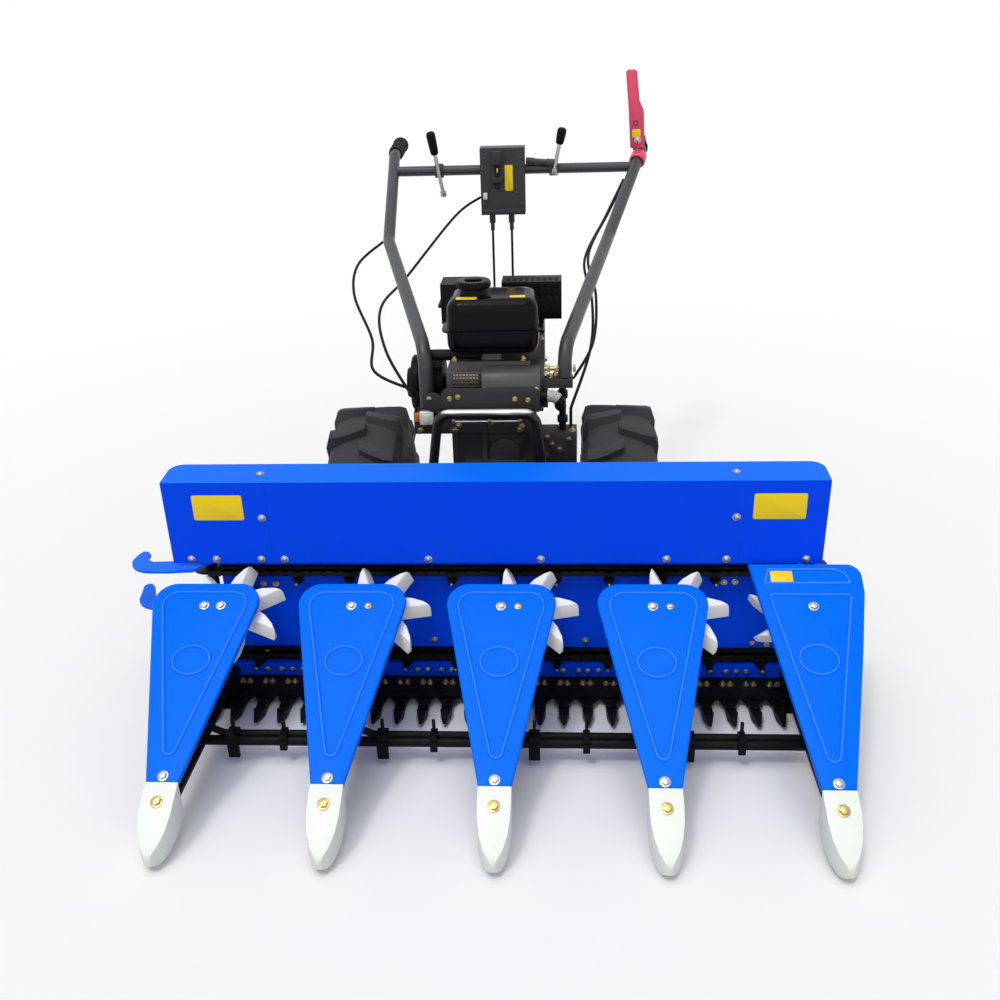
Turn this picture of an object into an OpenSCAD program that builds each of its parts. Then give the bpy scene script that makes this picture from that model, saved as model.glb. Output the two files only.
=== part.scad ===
// Walk-behind power reaper: a two-wheel tractor that carries a cutting header with five dividers.
// The origin is on the ground under the wheel axle, in the tractor's centre plane. The header faces -Y.

/* [Header] */
// Sideways offset of the middle divider from the tractor's centre plane
header_x = 28; // [0:1:60]
// Distance between two dividers
div_pitch = 300; // [280:1:320]
// Gap between the tyres and the frame behind the back panel
tyre_gap = 122; // [110:1:140]
// Thickness of the header's sheet metal
sheet = 3; // [2:0.5:4]
// Half the length of the chain runs
run_half = 640; // [630:1:660]

/* [Dividers] */
// Slope of the divider covers
cover_slope = 27.4; // [24:0.2:30]
// Height of the tip bolt above the ground
tip_bolt_z = 95; // [85:1:105]
// Distance of the tip bolt behind the front of the tip
tip_bolt_back = 75; // [65:1:85]
// Length of a cover up its slope, from the tip bolt
cover_len = 466; // [440:1:480]
// Distance between the covers' upper ends and the back panel
cover_gap = 101.3; // [98:0.1:110]
// Half width of a cover at its lower end
cover_low = 30; // [26:1:34]
// Half width of a cover at its upper end
cover_high = 112; // [100:1:116]
// Corner radius of a cover
cover_corner = 45; // [30:1:60]
// Height of the folded edge of a cover
cover_lip = 10; // [6:1:14]
// Height of the raised beads
bead_h = 2.5; // [1:0.5:4]
// Width of the raised beads
bead_w = 7; // [4:1:10]
// Radius of the divider arms
arm_r = 15; // [12:0.5:17]
// Height of the divider arms' axis
arm_z = 58; // [54:1:64]

/* [Star wheels] */
// Outer radius of a star wheel
star_r = 112; // [95:1:114]
// Number of arms
star_arms = 7; // [6:1:8]
// Depth of an arm
star_depth = 28; // [20:1:32]
// Gap between the cover and the star wheel
star_gap = 25; // [20:1:30]
// Distance of the star wheel's axis below the cover's upper end
star_back = 47; // [42:1:60]
// Sideways offset of the star wheel's axis
star_dx = 44; // [0:1:50]
// Radius of the star wheel's axle
star_axle_r = 8; // [6:0.5:10]

/* [Wheels] */
// Outer radius of a tyre over its lugs
tyre_r = 245; // [235:1:255]
// Width of a tyre
tyre_w = 172; // [160:1:180]
// Height of the lugs
lug_h = 20; // [14:1:24]
// Lugs on each side of a tyre
lug_count = 12; // [10:1:14]
// Radius of the rim
rim_r = 102; // [96:1:110]
// Radius of the circle that the rim's weight holes lie on
hole_circle = 65; // [55:1:75]
// Radius of the rim's weight holes
hole_r = 6.5; // [5:0.5:8]
// Distance between the wheels' centre planes
track = 604; // [590:1:620]
// Sideways offset of the wheels' middle from the tractor's centre plane
axle_x = -14; // [-20:1:0]
// Radius of the axle
axle_r = 16; // [14:0.5:18]

/* [Handlebar] */
// Radius of the handle tubes
tube_r = 16; // [14:0.5:18]
// Half distance between the tubes' feet
foot_half = 158; // [152:1:164]
// Length behind the axle to the grips' ends
grip_reach = 1000; // [960:1:1040]
// Height of the grips
grip_z = 1000; // [980:1:1030]

/* [Hidden] */
$fn = 48;
fit = 0.3;
seam = 0.15;
roll = 17;

blue = [0.0, 0.28, 0.90];
bright = [0.0, 0.45, 1.0];
black = [0.06, 0.06, 0.07];
iron = [0.12, 0.12, 0.13];
tube_grey = [0.25, 0.26, 0.28];
white = [0.93, 0.93, 0.90];

frame_tube = 40;
panel_y = -(tyre_r + tyre_gap + frame_tube + sheet);
bolt_y = panel_y - cover_gap - cover_len * cos(cover_slope);
tip_y = bolt_y - tip_bolt_back;
cover_top = tip_bolt_z + cover_len * sin(cover_slope);
star_up = cover_len - star_back;

// Sections of the header, seen from the side
panel_low = 58;
panel_top = cover_top + 20.5;
upper_rail_z = [cover_top - 39.5, cover_top - 12.5];
lower_rail_z = [58, 92];
rail_depth = 12;
chain_back = 4;
chain_t = 9;
chain_h = 12;
upper_chain_z = cover_top - 33.5;
lower_chain_z = 68;
sprocket_r = 30;
loop_r = sprocket_r + chain_t / 2;
loop_y = panel_y - chain_back - chain_t / 2 + loop_r;
shield_y = panel_y - 45;
shield_low = cover_top + 15.5;
shield_fold = cover_top + 199.5;
tube_top = cover_top + 30.5;
flange_depth = 80;
flange_tilt = 5;
shield_left_x = -664;
shield_right_x = 676;
seam_half = 479;

skid_t = 4;
beam_top = 27;
beam_t = 6.5;
beam_front = panel_y - 92;
strip_y = panel_y - 18;
panel_left = header_x - run_half + 30;
beam_back = strip_y;
knife_z = 17;
knife_t = 3;
guard_pitch = run_half / 12.8;
guard_count = 26;
guard_front = panel_y - 172;
frame_y = panel_y + sheet;
post_x = [for (k = [-3, -1, 1, 3]) header_x + k * run_half * 150 / 640];

function div_x(i) = header_x + (i - 2) * div_pitch;
function arc(c, r, a0, a1, n) = [for (k = [0:n]) c + r * [cos(a0 + (a1 - a0) * k / n), sin(a0 + (a1 - a0) * k / n)]];
function unit(v) = v / norm(v);

module box(a, b) translate(a) cube(b - a);
module along_x(x0, x1) translate([x0, 0, 0]) rotate([90, 0, 90]) linear_extrude(x1 - x0) children();

// Round bar from one point to another
module rod(p, q, r) {
    d = q - p;
    turn = atan2(d.y, d.x);
    lean = acos(d.z / norm(d));
    translate(p) rotate([0, lean, turn]) rotate(roll) cylinder(r = r, h = norm(d));
}

// Ball whose poles lie along d
module ball(p, d, r) translate(p) rotate([0, acos(d.z / norm(d)), atan2(d.y, d.x)]) rotate(roll) sphere(r);

// Round bar along a line of points, with a bend of radius b at each inner point
module bent_tube(pts, r, b) {
    last = len(pts) - 1;
    dirs = [for (i = [0:last - 1]) unit(pts[i + 1] - pts[i])];
    half = [for (i = [1:last - 1]) acos(dirs[i - 1] * dirs[i]) / 2];
    cut = [0, for (h = half) b * tan(h), 0];
    for (i = [0:last - 1]) rod(pts[i] + dirs[i] * cut[i], pts[i + 1] - dirs[i] * cut[i + 1], r);
    for (i = [1:last - 1], e = [-dirs[i - 1], dirs[i]]) ball(pts[i] + e * cut[i], e, r + seam);
    for (i = [1:last - 1]) {
        z = unit(cross(dirs[i - 1], dirs[i]));
        x = cross(dirs[i - 1], z);
        y = dirs[i - 1];
        c = pts[i] - y * cut[i] - x * b;
        multmatrix([[x.x, y.x, z.x, c.x], [x.y, y.y, z.y, c.y], [x.z, y.z, z.z, c.z]])
            rotate_extrude(angle = 2 * half[i - 1]) translate([b, 0]) circle(r);
    }
}

module on_divider(i) translate([div_x(i), bolt_y, tip_bolt_z]) rotate([cover_slope, 0, 0]) children();

// Side-view point u up the slope and n above a cover's face
function on_slope(u, n) = [bolt_y + u * cos(cover_slope) - n * sin(cover_slope),
    tip_bolt_z + u * sin(cover_slope) + n * cos(cover_slope)];

// Outline of a cover, inset by d
function side_angle() = atan((cover_high - cover_low) / (cover_len - cover_start));
cover_start = 41;
function fan(d, low) = let (r = cover_corner - d, top = cover_len - d, w = cover_high - d)
    concat([[cover_low - d, low]],
        arc([w - r - 3, top - r], r, -side_angle(), 90, 8),
        arc([-(w - r - 3), top - r], r, 90, 180 + side_angle(), 8),
        [[-(cover_low - d), low]]);
function oval(rx, ry, n) = [for (k = [0:n - 1]) [rx * cos(360 * k / n), ry * sin(360 * k / n)]];

module bead(d, low) linear_extrude(bead_h) difference() {
    polygon(fan(d, low));
    polygon(fan(d + bead_w, low + bead_w));
}
module oval_bead(up) linear_extrude(bead_h) translate([0, up]) difference() {
    polygon(oval(41, 36, 32));
    polygon(oval(35, 30, 32));
}

module cover(i) color(bright) on_divider(i) {
    difference() {
        translate([0, 0, -cover_lip]) linear_extrude(cover_lip) polygon(fan(0, cover_start));
        translate([0, 0, -cover_lip - 1]) linear_extrude(cover_lip + 1 - 2) polygon(fan(2, cover_start + 2));
    }
    bead(20, 88);
    oval_bead(cover_len - 178);
}

// The last cover is longer and reaches under the shield
end_len = cover_len + 48;
function end_outline(d) = concat([[-(cover_low - d), cover_start + d], [cover_low - d, cover_start + d],
    [91 - d, end_len - 197], [117 - d, end_len - 67]],
    arc([90, end_len - 28], 28 - d, 0, 85, 6), [[-103 + d, end_len - d]]);
end_lip = 17;
module end_cover() color(bright) on_divider(4) {
    difference() {
        translate([0, 0, -end_lip]) linear_extrude(end_lip) polygon(end_outline(0));
        translate([0, 0, -end_lip - 1]) linear_extrude(end_lip + 1 - 2) polygon(end_outline(2));
    }
    linear_extrude(bead_h) difference() {
        polygon([[-22, 88], [22, 88], [90, end_len - 74], [-66, end_len - 74]]);
        polygon([[-16, 94], [16, 94], [82, end_len - 81], [-58, end_len - 81]]);
    }
    translate([4, 0, 0]) oval_bead(end_len - 218);
}

module divider_cover_1() cover(0);
module divider_cover_2() cover(1);
module divider_cover_3() cover(2);
module divider_cover_4() cover(3);
module divider_cover_5() end_cover();

// White tips, boat-shaped in side view and narrow at the front
tip_len = tip_bolt_back + cover_start * cos(cover_slope);
module tip_side() {
    top = tip_bolt_z + cover_start * sin(cover_slope);
    polygon([[0, 36], [2, 20], [10, 14], [24, 15], [tip_len, 40], [tip_len, top], [tip_bolt_back, tip_bolt_z + 1],
        [12, 52], [4, 45]]);
}
module tip_plan() polygon(concat(arc([0, 9], 9, 200, 340, 6), [[17, 17], [25, 38], [29, 60], [cover_low, 80],
    [cover_low, tip_len], [-cover_low, tip_len], [-cover_low, 80], [-29, 60], [-25, 38], [-17, 17]]));
module tip() difference() {
    intersection() {
        translate([-cover_low - 5, 0, 0]) rotate([90, 0, 90]) linear_extrude(2 * cover_low + 10) tip_side();
        linear_extrude(150) tip_plan();
    }
    translate([0, 46, arm_z]) rotate([-90, 0, 0]) cylinder(r = arm_r + fit, h = tip_len);
}
module divider_tips() color(white) for (i = [0:4]) translate([div_x(i), tip_y, 0]) tip();

// Arms under the dividers and the bar across them
bar_y = guard_front - 106;
bar_z = 50;
bar_r = 10;
module front_frame() color(black) {
    arm_front = tip_y + 48;
    arm_back = beam_front + 45;
    tab_u = cover_start + 10;
    for (i = [0:4]) {
        rod([div_x(i), arm_front, arm_z], [div_x(i), arm_back, arm_z], arm_r);
        box([div_x(i) - 11, beam_front + 4, beam_top], [div_x(i) + 11, arm_back - 5, arm_z - 2]);
        along_x(div_x(i) - 10, div_x(i) + 10) polygon([on_slope(tab_u, -2 - fit), on_slope(tab_u + 14, -2 - fit),
            [on_slope(tab_u + 14, -2).x, arm_z + 3], [on_slope(tab_u, -2).x, arm_z + 3]]);
    }
    rod([div_x(0), bar_y, bar_z], [div_x(4), bar_y, bar_z], bar_r);
    for (i = [0:3]) {
        finger_bar(div_x(i), div_x(i + 1));
        clip(div_x(i) + 0.22 * div_pitch, 11, 32);
        clip(div_x(i) + 0.56 * div_pitch, 7, 14);
    }
}
// Upper bar of a lane, bent up to the arm at its left end
module finger_bar(x0, x1) bent_tube([[x0 - 8, bar_y + 8, bar_z + 25], [x0 + 20, bar_y + 8, bar_z + 25],
    [x0 + 46, bar_y + 8, bar_z + 12], [x1, bar_y + 8, bar_z + 12]], 7, 16);
// Clip of half width w that holds a finger on both bars and reaches down
module clip(x, w, down) {
    box([x - w, bar_y - 14, bar_z - down], [x + w, bar_y - 6, bar_z + 8]);
    box([x - w, bar_y - 12, bar_z - 4], [x + w, bar_y + 15, bar_z + 22]);
    along_x(x - 3, x + 3) polygon([[bar_y + 2, bar_z + 20], [bar_y + 12, bar_z + 20], [bar_y + 10, bar_z + 48],
        [bar_y + 5, bar_z + 48]]);
}

// Star wheels
star_top = -star_gap;
function star_shift(i) = i < 4 ? star_dx : 0;
module on_star(i) on_divider(i) translate([star_shift(i), star_up, star_top - star_depth]) children();
// Arm from the hub to its blunt end; its trailing side slopes out towards its foot
arm_foot = [[0, -24], [60, -19], [92, -13], [star_r, -6], [star_r - 1, 9], [96, 19], [72, 27], [45, 29], [0, 24]];
arm_slope = [[-30, star_depth + 1], [-2.6, star_depth + 1], [-17, -1], [-30, -1]];
module star_body() {
    cylinder(r = 38, h = star_depth);
    difference() {
        linear_extrude(star_depth) for (k = [0:star_arms - 1]) rotate(k * 360 / star_arms) polygon(arm_foot);
        for (k = [0:star_arms - 1]) rotate(k * 360 / star_arms) rotate([90, 0, 98]) translate([0, 0, 37])
            linear_extrude(100) polygon(arm_slope);
    }
}
star_phase = [21, 1, 2, 2, 153];
module star_wheel(i) color(white) on_star(i) difference() {
    rotate(star_phase[i]) star_body();
    translate([0, 0, -1]) cylinder(r = star_axle_r + fit, h = star_depth + 2);
}
module star_wheel_1() star_wheel(0);
module star_wheel_2() star_wheel(1);
module star_wheel_3() star_wheel(2);
module star_wheel_4() star_wheel(3);
module star_wheel_5() star_wheel(4);

// Bracket and axle under each star wheel
module star_brackets() color(black) for (i = [0:4]) {
    on_star(i) translate([0, 0, -14]) cylinder(r = star_axle_r, h = star_depth + star_gap + 12);
    on_star(i) translate([0, 0, -14]) cylinder(r = 20, h = 13);
    foot = div_x(i) + star_shift(i);
    sin_s = sin(cover_slope);
    cos_s = cos(cover_slope);
    hub_y = bolt_y + star_up * cos_s + (star_gap + star_depth + 10) * sin_s;
    hub_z = tip_bolt_z + star_up * sin_s - (star_gap + star_depth + 10) * cos_s;
    box([foot - 15, hub_y - 8, hub_z - 10], [foot + 15, panel_y, hub_z]);
    box([foot - 25, panel_y - 6, hub_z - 50], [foot + 25, panel_y, hub_z + 10]);
}

// Back panel with the strip below it
module back_panel() color(blue) {
    box([panel_left, panel_y, panel_low], [header_x + run_half - 30, panel_y + sheet, panel_top]);
    along_x(header_x - run_half, header_x + run_half) polygon([[strip_y, beam_top], [strip_y + sheet, beam_top],
        [strip_y + sheet, panel_low - sheet], [panel_y, panel_low - sheet], [panel_y, panel_low], [strip_y, panel_low]]);
}

// Hood over the upper chain, in three sheets, with its outer corners rounded
shield_corner = 28;
module shield(x0, x1) {
    back = shield_y + flange_depth;
    rise = flange_depth * tan(flange_tilt);
    intersection() {
        along_x(x0, x1) polygon([[shield_y, shield_low], [shield_y + sheet, shield_low],
            [shield_y + sheet, shield_fold - sheet], [back - sheet, shield_fold - sheet + rise],
            [back - sheet, shield_fold - 20], [back, shield_fold - 20], [back, shield_fold + rise],
            [shield_y, shield_fold]]);
        translate([0, 0, shield_low - 1]) linear_extrude(2 * (shield_fold - shield_low))
            polygon(concat([[shield_left_x, shield_y - 1], [shield_right_x, shield_y - 1]],
                arc([shield_right_x - shield_corner, back - shield_corner], shield_corner, 0, 90, 6),
                arc([shield_left_x + shield_corner, back - shield_corner], shield_corner, 90, 180, 6)));
    }
}
module shield_centre() color(blue) shield(header_x - seam_half, header_x + seam_half);
module shield_left() color(blue) shield(shield_left_x, header_x - seam_half - fit);
module shield_right() color(blue) shield(header_x + seam_half + fit, shield_right_x);

// Rails that guide the two chains
module chain_rails() color(black) for (z = [upper_rail_z, lower_rail_z]) {
    box([panel_left, panel_y - rail_depth, z[1] - 4], [header_x + run_half - 30, panel_y, z[1]]);
    box([panel_left, panel_y - 2, z[0]], [header_x + run_half - 30, panel_y, z[1]]);
}
module loop_2d(r) hull() for (s = [-1, 1]) translate([header_x + s * run_half, loop_y]) circle(r);
link_count = 46;
link_pitch = 2 * (run_half - 7.5) / link_count;
lug_pitch = 4 * link_pitch;
module chain_loop(z, lug_out) color(iron) {
    front = loop_y - loop_r;
    translate([0, 0, z + 3]) linear_extrude(chain_h - 6) difference() {
        loop_2d(loop_r + chain_t / 2);
        loop_2d(loop_r - chain_t / 2);
    }
    for (k = [0:link_count - 1], y = [front, loop_y + loop_r]) {
        x = header_x + (k + 0.5 - link_count / 2) * link_pitch;
        box([x - 0.4 * link_pitch, y - chain_t / 2 - 1, z], [x + 0.4 * link_pitch, y + chain_t / 2 - 1, z + chain_h]);
    }
    for (k = [-5:5]) {
        x = header_x + k * lug_pitch;
        box([x - 12, front - 9, z - 10], [x + 12, front - 2, z + chain_h - 2]);
        translate([x, front - 8, z - 10]) linear_extrude(8)
            polygon([[-10, 0], [-4, -lug_out], [4, -lug_out], [10, 0]]);
    }
}
module upper_chain() chain_loop(upper_chain_z, 16);
module lower_chain() chain_loop(lower_chain_z, 24);

module sprocket_shafts() color(iron) for (s = [-1, 1]) translate([header_x + s * run_half, loop_y, 0]) {
    translate([0, 0, 54]) cylinder(r = 12, h = upper_chain_z - 30);
    for (z = [upper_chain_z, lower_chain_z]) translate([0, 0, z + 3]) cylinder(r = sprocket_r - fit, h = 6);
}

// Frame behind the panel
module header_frame() color(black) {
    x0 = header_x - run_half - 20;
    x1 = header_x + run_half + 20;
    box([x0, frame_y, tube_top - frame_tube], [x1, frame_y + frame_tube, tube_top]);
    box([x0, frame_y, 14], [x1, frame_y + frame_tube, 54]);
    for (x = post_x)
        box([x - 15, frame_y + 6, 54], [x + 15, frame_y + 34, tube_top - frame_tube]);
    for (s = [-1, 1]) {
        x = header_x + s * (run_half - 30);
        box([x - 25, beam_front - 18, 0], [x + 25, frame_y + 80, skid_t]);
        box([x - 25, frame_y, skid_t], [x + 25, frame_y + frame_tube, 14]);
    }
    for (x = post_x)
        box([x - 15, beam_back, 14], [x + 15, frame_y, beam_top]);
}
// Straps that carry the shield on the frame's upper tube
module shield_straps() color(black) {
    strap_y = shield_y + flange_depth + fit;
    for (x = [-560, header_x - 300, header_x + 300, 588]) {
        box([x - 15, strap_y, tube_top + fit], [x + 15, strap_y + 4, shield_fold + 3]);
        box([x - 15, strap_y - 22, tube_top + fit], [x + 15, strap_y + 4, tube_top + fit + 4]);
    }
}

// Housing that joins the header to the tractor
couple_z = 250;
couple_back = -160;
module header_coupling() color(black) {
    y0 = frame_y + frame_tube;
    for (s = [-1, 1]) {
        box([s * 100 - 20, y0 + 24, 14], [s * 100 + 20, y0 + 54, tube_top]);
        box([s * 100 - 20, y0, tube_top - frame_tube], [s * 100 + 20, y0 + 24, tube_top]);
        box([s * 100 - 20, y0, 14], [s * 100 + 20, y0 + 24, 54]);
    }
    translate([0, y0 + 24, couple_z]) rotate([-90, 0, 0]) cylinder(r = 92, h = 12);
    translate([0, y0 + 24, couple_z]) rotate([-90, 0, 0]) cylinder(r = 52, h = couple_back - y0 - 24);
    translate([0, couple_back - 12, couple_z]) rotate([-90, 0, 0]) cylinder(r = 78, h = 12);
}

// Cutter
module cutter_beam() color(black) {
    box([header_x - run_half, beam_front, beam_top - beam_t], [header_x + run_half, beam_back, beam_top]);
    box([header_x - run_half, beam_back - 6, skid_t], [header_x + run_half, beam_back, beam_top]);
}
module guard_side() polygon([[0, 12], [26, 6], [80, 4], [126, 4], [126, 20.5], [112, 20.5], [70, 26], [24, 22], [0, 15]]);
module guard_plan() polygon([[-3, 0], [3, 0], [11, 34], [11, 80], [16, 100], [16, 126], [-16, 126], [-16, 100],
    [-11, 80], [-11, 34]]);
function guard_x(k) = header_x + (k - (guard_count - 1) / 2) * guard_pitch;
module knife_guards() color(black) {
    for (k = [0:guard_count - 1]) translate([guard_x(k), guard_front, 0]) difference() {
        intersection() {
            translate([-20, 0, 0]) rotate([90, 0, 90]) linear_extrude(40) guard_side();
            linear_extrude(40) guard_plan();
        }
        box([-20, 36, knife_z - fit], [20, 114, 40]);
    }
    bar_back = beam_back - 6;
    box([header_x - run_half, guard_front + 114, 10], [header_x + run_half, bar_back, beam_top - beam_t]);
}
module knife() color(iron) translate([header_x, 0, knife_z]) linear_extrude(knife_t) {
    translate([-run_half, beam_front + 8]) square([2 * run_half, 24]);
    for (k = [0:guard_count - 1]) translate([(k - (guard_count - 1) / 2) * guard_pitch, beam_front + 9])
        polygon([[-24, 0], [-5, -38], [5, -38], [24, 0]]);
}

// Flat hooks that guide the crop out at the left; each ends at the panel
hook_t = 5;
hook_r = 54;
hook_at = [panel_left - 127, panel_y - 15];
module hook(z, curl, lean, foot) translate([0, 0, z]) linear_extrude(hook_t) polygon(concat(
    [[foot[1], panel_y], [foot[1], panel_y - 22], [foot[0] - 4, panel_y - 22], [foot[0] - 26, panel_y - 46],
        [foot[0] - 38, panel_y - 64], [hook_at.x + 40, hook_at.y - hook_r]],
    arc(hook_at, hook_r, 270, 180, 6),
    [[hook_at.x - hook_r - lean, hook_at.y + curl - 10], [hook_at.x - hook_r + 6 - lean, hook_at.y + curl],
        [hook_at.x - hook_r + 16 - lean, hook_at.y + curl - 2], [hook_at.x - hook_r + 26 - lean, hook_at.y + curl - 14]],
    arc([hook_at.x, hook_at.y + 12], 24, 195, 255, 3),
    [[hook_at.x + 40, hook_at.y - 8], [foot[0] - 20, panel_y]]));
module discharge_hooks() color(blue) {
    hook(cover_top + 3.5, 36, -4, [panel_left, panel_left + 42]);
    hook(cover_top - 85.5, 52, 8, [panel_left, panel_left + 24]);
}

// Two-wheel tractor
hitch_z = 230;
hitch_h = 32;
hitch_y = 168;
hitch_r = 8;
axle_z = tyre_r;
guard_pts = [[-148, -165, 380], [-125, -165, 545], [92, -165, 545], [115, -165, 380]];
guard_r = 11;
foot_dir = unit([0, 14, 172]);
rod_x = 153;
rod_y = -100;
ledge_z = 482;
module gearbox() color(black) {
    box([-70, -148, 130], [70, 130, 420]);
    difference() {
        box([-100, -130, 400], [90, 90, 540]);
        for (x = [[-88, -32], [-20, 78]]) box([x[0], -131, 412], [x[1], -120, 486]);
    }
    translate([20, -134, 436]) rotate([-90, 0, 0]) cylinder(r = 36, h = 20);
    box([90, -120, 400], [186, -66, ledge_z]);
    for (s = [-1, 1]) {
        rod([s * 60, 0, axle_z], [axle_x + s * (track / 2 - 132), 0, axle_z], 40);
        rod([axle_x + s * (track / 2 - 152), 0, axle_z], [axle_x + s * (track / 2 + 46), 0, axle_z], axle_r);
    }
    difference() {
        box([-186, -128, 484], [-80, -66, 536]);
        rod([-foot_half, -100, 490] - foot_dir * 30, [-foot_half, -100, 490] + foot_dir * 120, tube_r + fit);
    }
    translate([0, couple_back, couple_z]) rotate([-90, 0, 0]) cylinder(r = 78, h = 20);
    difference() {
        box([-30, 125, hitch_z], [30, 190, hitch_z + hitch_h]);
        translate([0, hitch_y, hitch_z - 1]) cylinder(r = hitch_r, h = hitch_h + 2);
    }
    translate([0, 126, 330]) rotate([-90, 0, 0]) cylinder(r = 44, h = 16);
}
// Engine plate with its ear, and the bracket under the right handle tube
bracket_top = 606;
module engine_mount() color(iron) {
    box([-125, -135, 540], [110, 110, 550]);
    translate([-9, -135, 540]) rotate([90, 0, 0]) linear_extrude(5)
        polygon(concat([[-111, 0], [111, 0]], arc([95, 40], 16, 0, 90, 5), arc([-95, 40], 16, 90, 180, 5)));
    translate([-138, -135, 564]) rotate([90, 0, 0]) cylinder(r = 22, h = 5);
    box([112 + fit, -112, 586], [176, -72, bracket_top]);
    box([112 + fit, -112, 550], [120, -72, 590]);
    box([100, -112, 540], [120, -72, 550]);
}
// Engine block with its cowl, cooling grille, finned cylinder and head
cowl_front = -130;
fin_count = 7;
fin_pitch = 8;
module crankcase() color(iron) {
    box([-110, -100, 550], [112, 105, 622]);
    along_x(-28, 103) polygon([[-100, 552], [cowl_front, 552], [cowl_front, 600], [-124, 617], [-110, 629],
        [-86, 633], [-86, 621], [-100, 621]]);
    box([-100, -86, 621], [80, -62, 642]);
    box([10, 0, 622], [112, 105, tank_low]);
    box([-100, 20, 622], [-60, 62, tank_low]);
    grille([-98, -104, 588], [-34, -99, 621]);
    box([-45, 104, 565], [55, 172, 645]);
    for (k = [0:fin_count - 1]) box([-70, 113 + k * fin_pitch, 556], [80, 116 + k * fin_pitch, 654]);
    box([-55, 171, 560], [65, 196, 650]);
}
// Frame with crossed bars between two corners
bar_w = 2.5;
module grille(a, b) {
    nx = 8;
    nz = 4;
    for (k = [0:nx]) box([a.x + (b.x - a.x - bar_w) * k / nx, a.y, a.z],
        [a.x + (b.x - a.x - bar_w) * k / nx + bar_w, b.y, b.z]);
    for (k = [0:nz]) box([a.x, a.y, a.z + (b.z - a.z - bar_w) * k / nz],
        [b.x, b.y, a.z + (b.z - a.z - bar_w) * k / nz + bar_w]);
}
fan_at = [-201, 12, 562];
module fan_housing() color(black) difference() {
    translate(fan_at) rotate([0, 90, 0]) rotate_extrude() polygon([[0, -12], [34, -12], [40, 0], [62, 0], [66, 4],
        [66, 16], [58, 22], [58, 50], [64, 54], [64, 75], [11.5, 75], [11.5, 91], [0, 91]]);
    for (k = [0:7]) translate(fan_at) rotate([k * 45, 0, 0]) box([-1, -4, 44], [5, 4, 57]);
}
hose_ends = [[-160, -45, 646], [-45, -45, 646]];
module air_intake() color(black) {
    rod(hose_ends[0], hose_ends[1], 13);
    for (p = hose_ends) translate(p) sphere(15);
    rod(hose_ends[0], [-160, -45, 610.6], 12);
    rod(hose_ends[1], [-45, -45, 622 + fit], 12);
    box([-132, 60, 690], [-62, 140, 784]);
    box([-138, 54, 730], [-56, 146, 738]);
    rod([-90, 82, 622 + fit], [-90, 82, 700], 16);
}
slot_count = 9;
module muffler() color(black) {
    difference() {
        box([12, 60, 699], [152, 130, 787]);
        for (k = [0:slot_count - 1]) {
            x = 24 + k * 14;
            for (z = [752, 766]) box([x, 59, z], [x + 8, 62, z + 7]);
            for (y = [74, 90]) box([x, y, 785], [x + 8, y + 9, 788]);
        }
    }
    rod([98, 88, tank_low + fit], [98, 88, 705], 14);
    bent_tube([[103 + fit, -126, 572], [148, -126, 572], [148, -126, 546]], 13, 22);
}
tank_low = 662;
tank_seam = 716;
tank_high = 788;
module rounded_slab(w, d, h, r) linear_extrude(h) offset(r) square([w - 2 * r, d - 2 * r], center = true);
module fuel_tank() color(black) {
    translate([-2, -40, tank_low]) rounded_slab(190, 136, 10, 20);
    translate([-2, -40, tank_low + 8]) rounded_slab(206, 150, tank_high - tank_low - 20, 24);
    translate([-2, -40, tank_high - 14]) rounded_slab(190, 136, 14, 20);
    translate([-2, -40, tank_seam]) rounded_slab(228, 172, 5, 30);
    translate([-45, -40, tank_high - 1]) cylinder(r = 32, h = 14);
    translate([-45, -40, tank_high + 12]) cylinder(r = 38, h = 18);
}
module guard_bar() color(tube_grey) {
    bent_tube(guard_pts, guard_r, 30);
    for (s = [-1, 1]) difference() {
        box([min(s * (70 + fit), s * 165), -182, 388], [max(s * (70 + fit), s * 165), -120 - fit, 400 - fit]);
        rod(guard_pts[0], guard_pts[1], guard_r + fit);
        rod(guard_pts[3], guard_pts[2], guard_r + fit);
    }
}
module shift_linkage() color(iron) {
    rod([rod_x, rod_y, ledge_z + fit], [rod_x, rod_y, 586 - fit], 8);
    rod([rod_x, rod_y, ledge_z + 20], [rod_x, rod_y, ledge_z + 34], 12);
    rod([rod_x, rod_y, 560], [rod_x, rod_y, 576], 12);
}

// Handlebar
// Share of the handlebar's reach
function back(y) = y * grip_reach / 1000;
left_pts = [[-foot_half, -100, 490], [-foot_half, -86, 672], [-316, back(500), 803], [-339, back(860), grip_z - 15],
    [-339, grip_reach - 6, grip_z]];
right_pts = [[foot_half, -91, bracket_top + 1.5], [foot_half, -86, 672], [279, back(500), 803],
    [389, back(860), grip_z - 15], [389, grip_reach - 6, grip_z]];
module handle_left() color(tube_grey) bent_tube(left_pts, tube_r, 60);
module handle_right() color(tube_grey) bent_tube(right_pts, tube_r, 60);
bar_share = 0.8;
function on_bar(p) = p[2] + (p[3] - p[2]) * bar_share;
module crossbar() color(tube_grey) difference() {
    rod(on_bar(left_pts), on_bar(right_pts), 14);
    rod(left_pts[2], left_pts[3], tube_r + fit);
    rod(right_pts[2], right_pts[3], tube_r + fit);
}
module grips() color(black) for (p = [left_pts, right_pts]) difference() {
    along = unit(p[4] - p[3]);
    rod(p[3] + along * 22, p[4] + along * 6, tube_r + 5);
    rod(p[3], p[4] + along * fit, tube_r + fit);
}
lever_y = back(850);
lever_t = 20;
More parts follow.
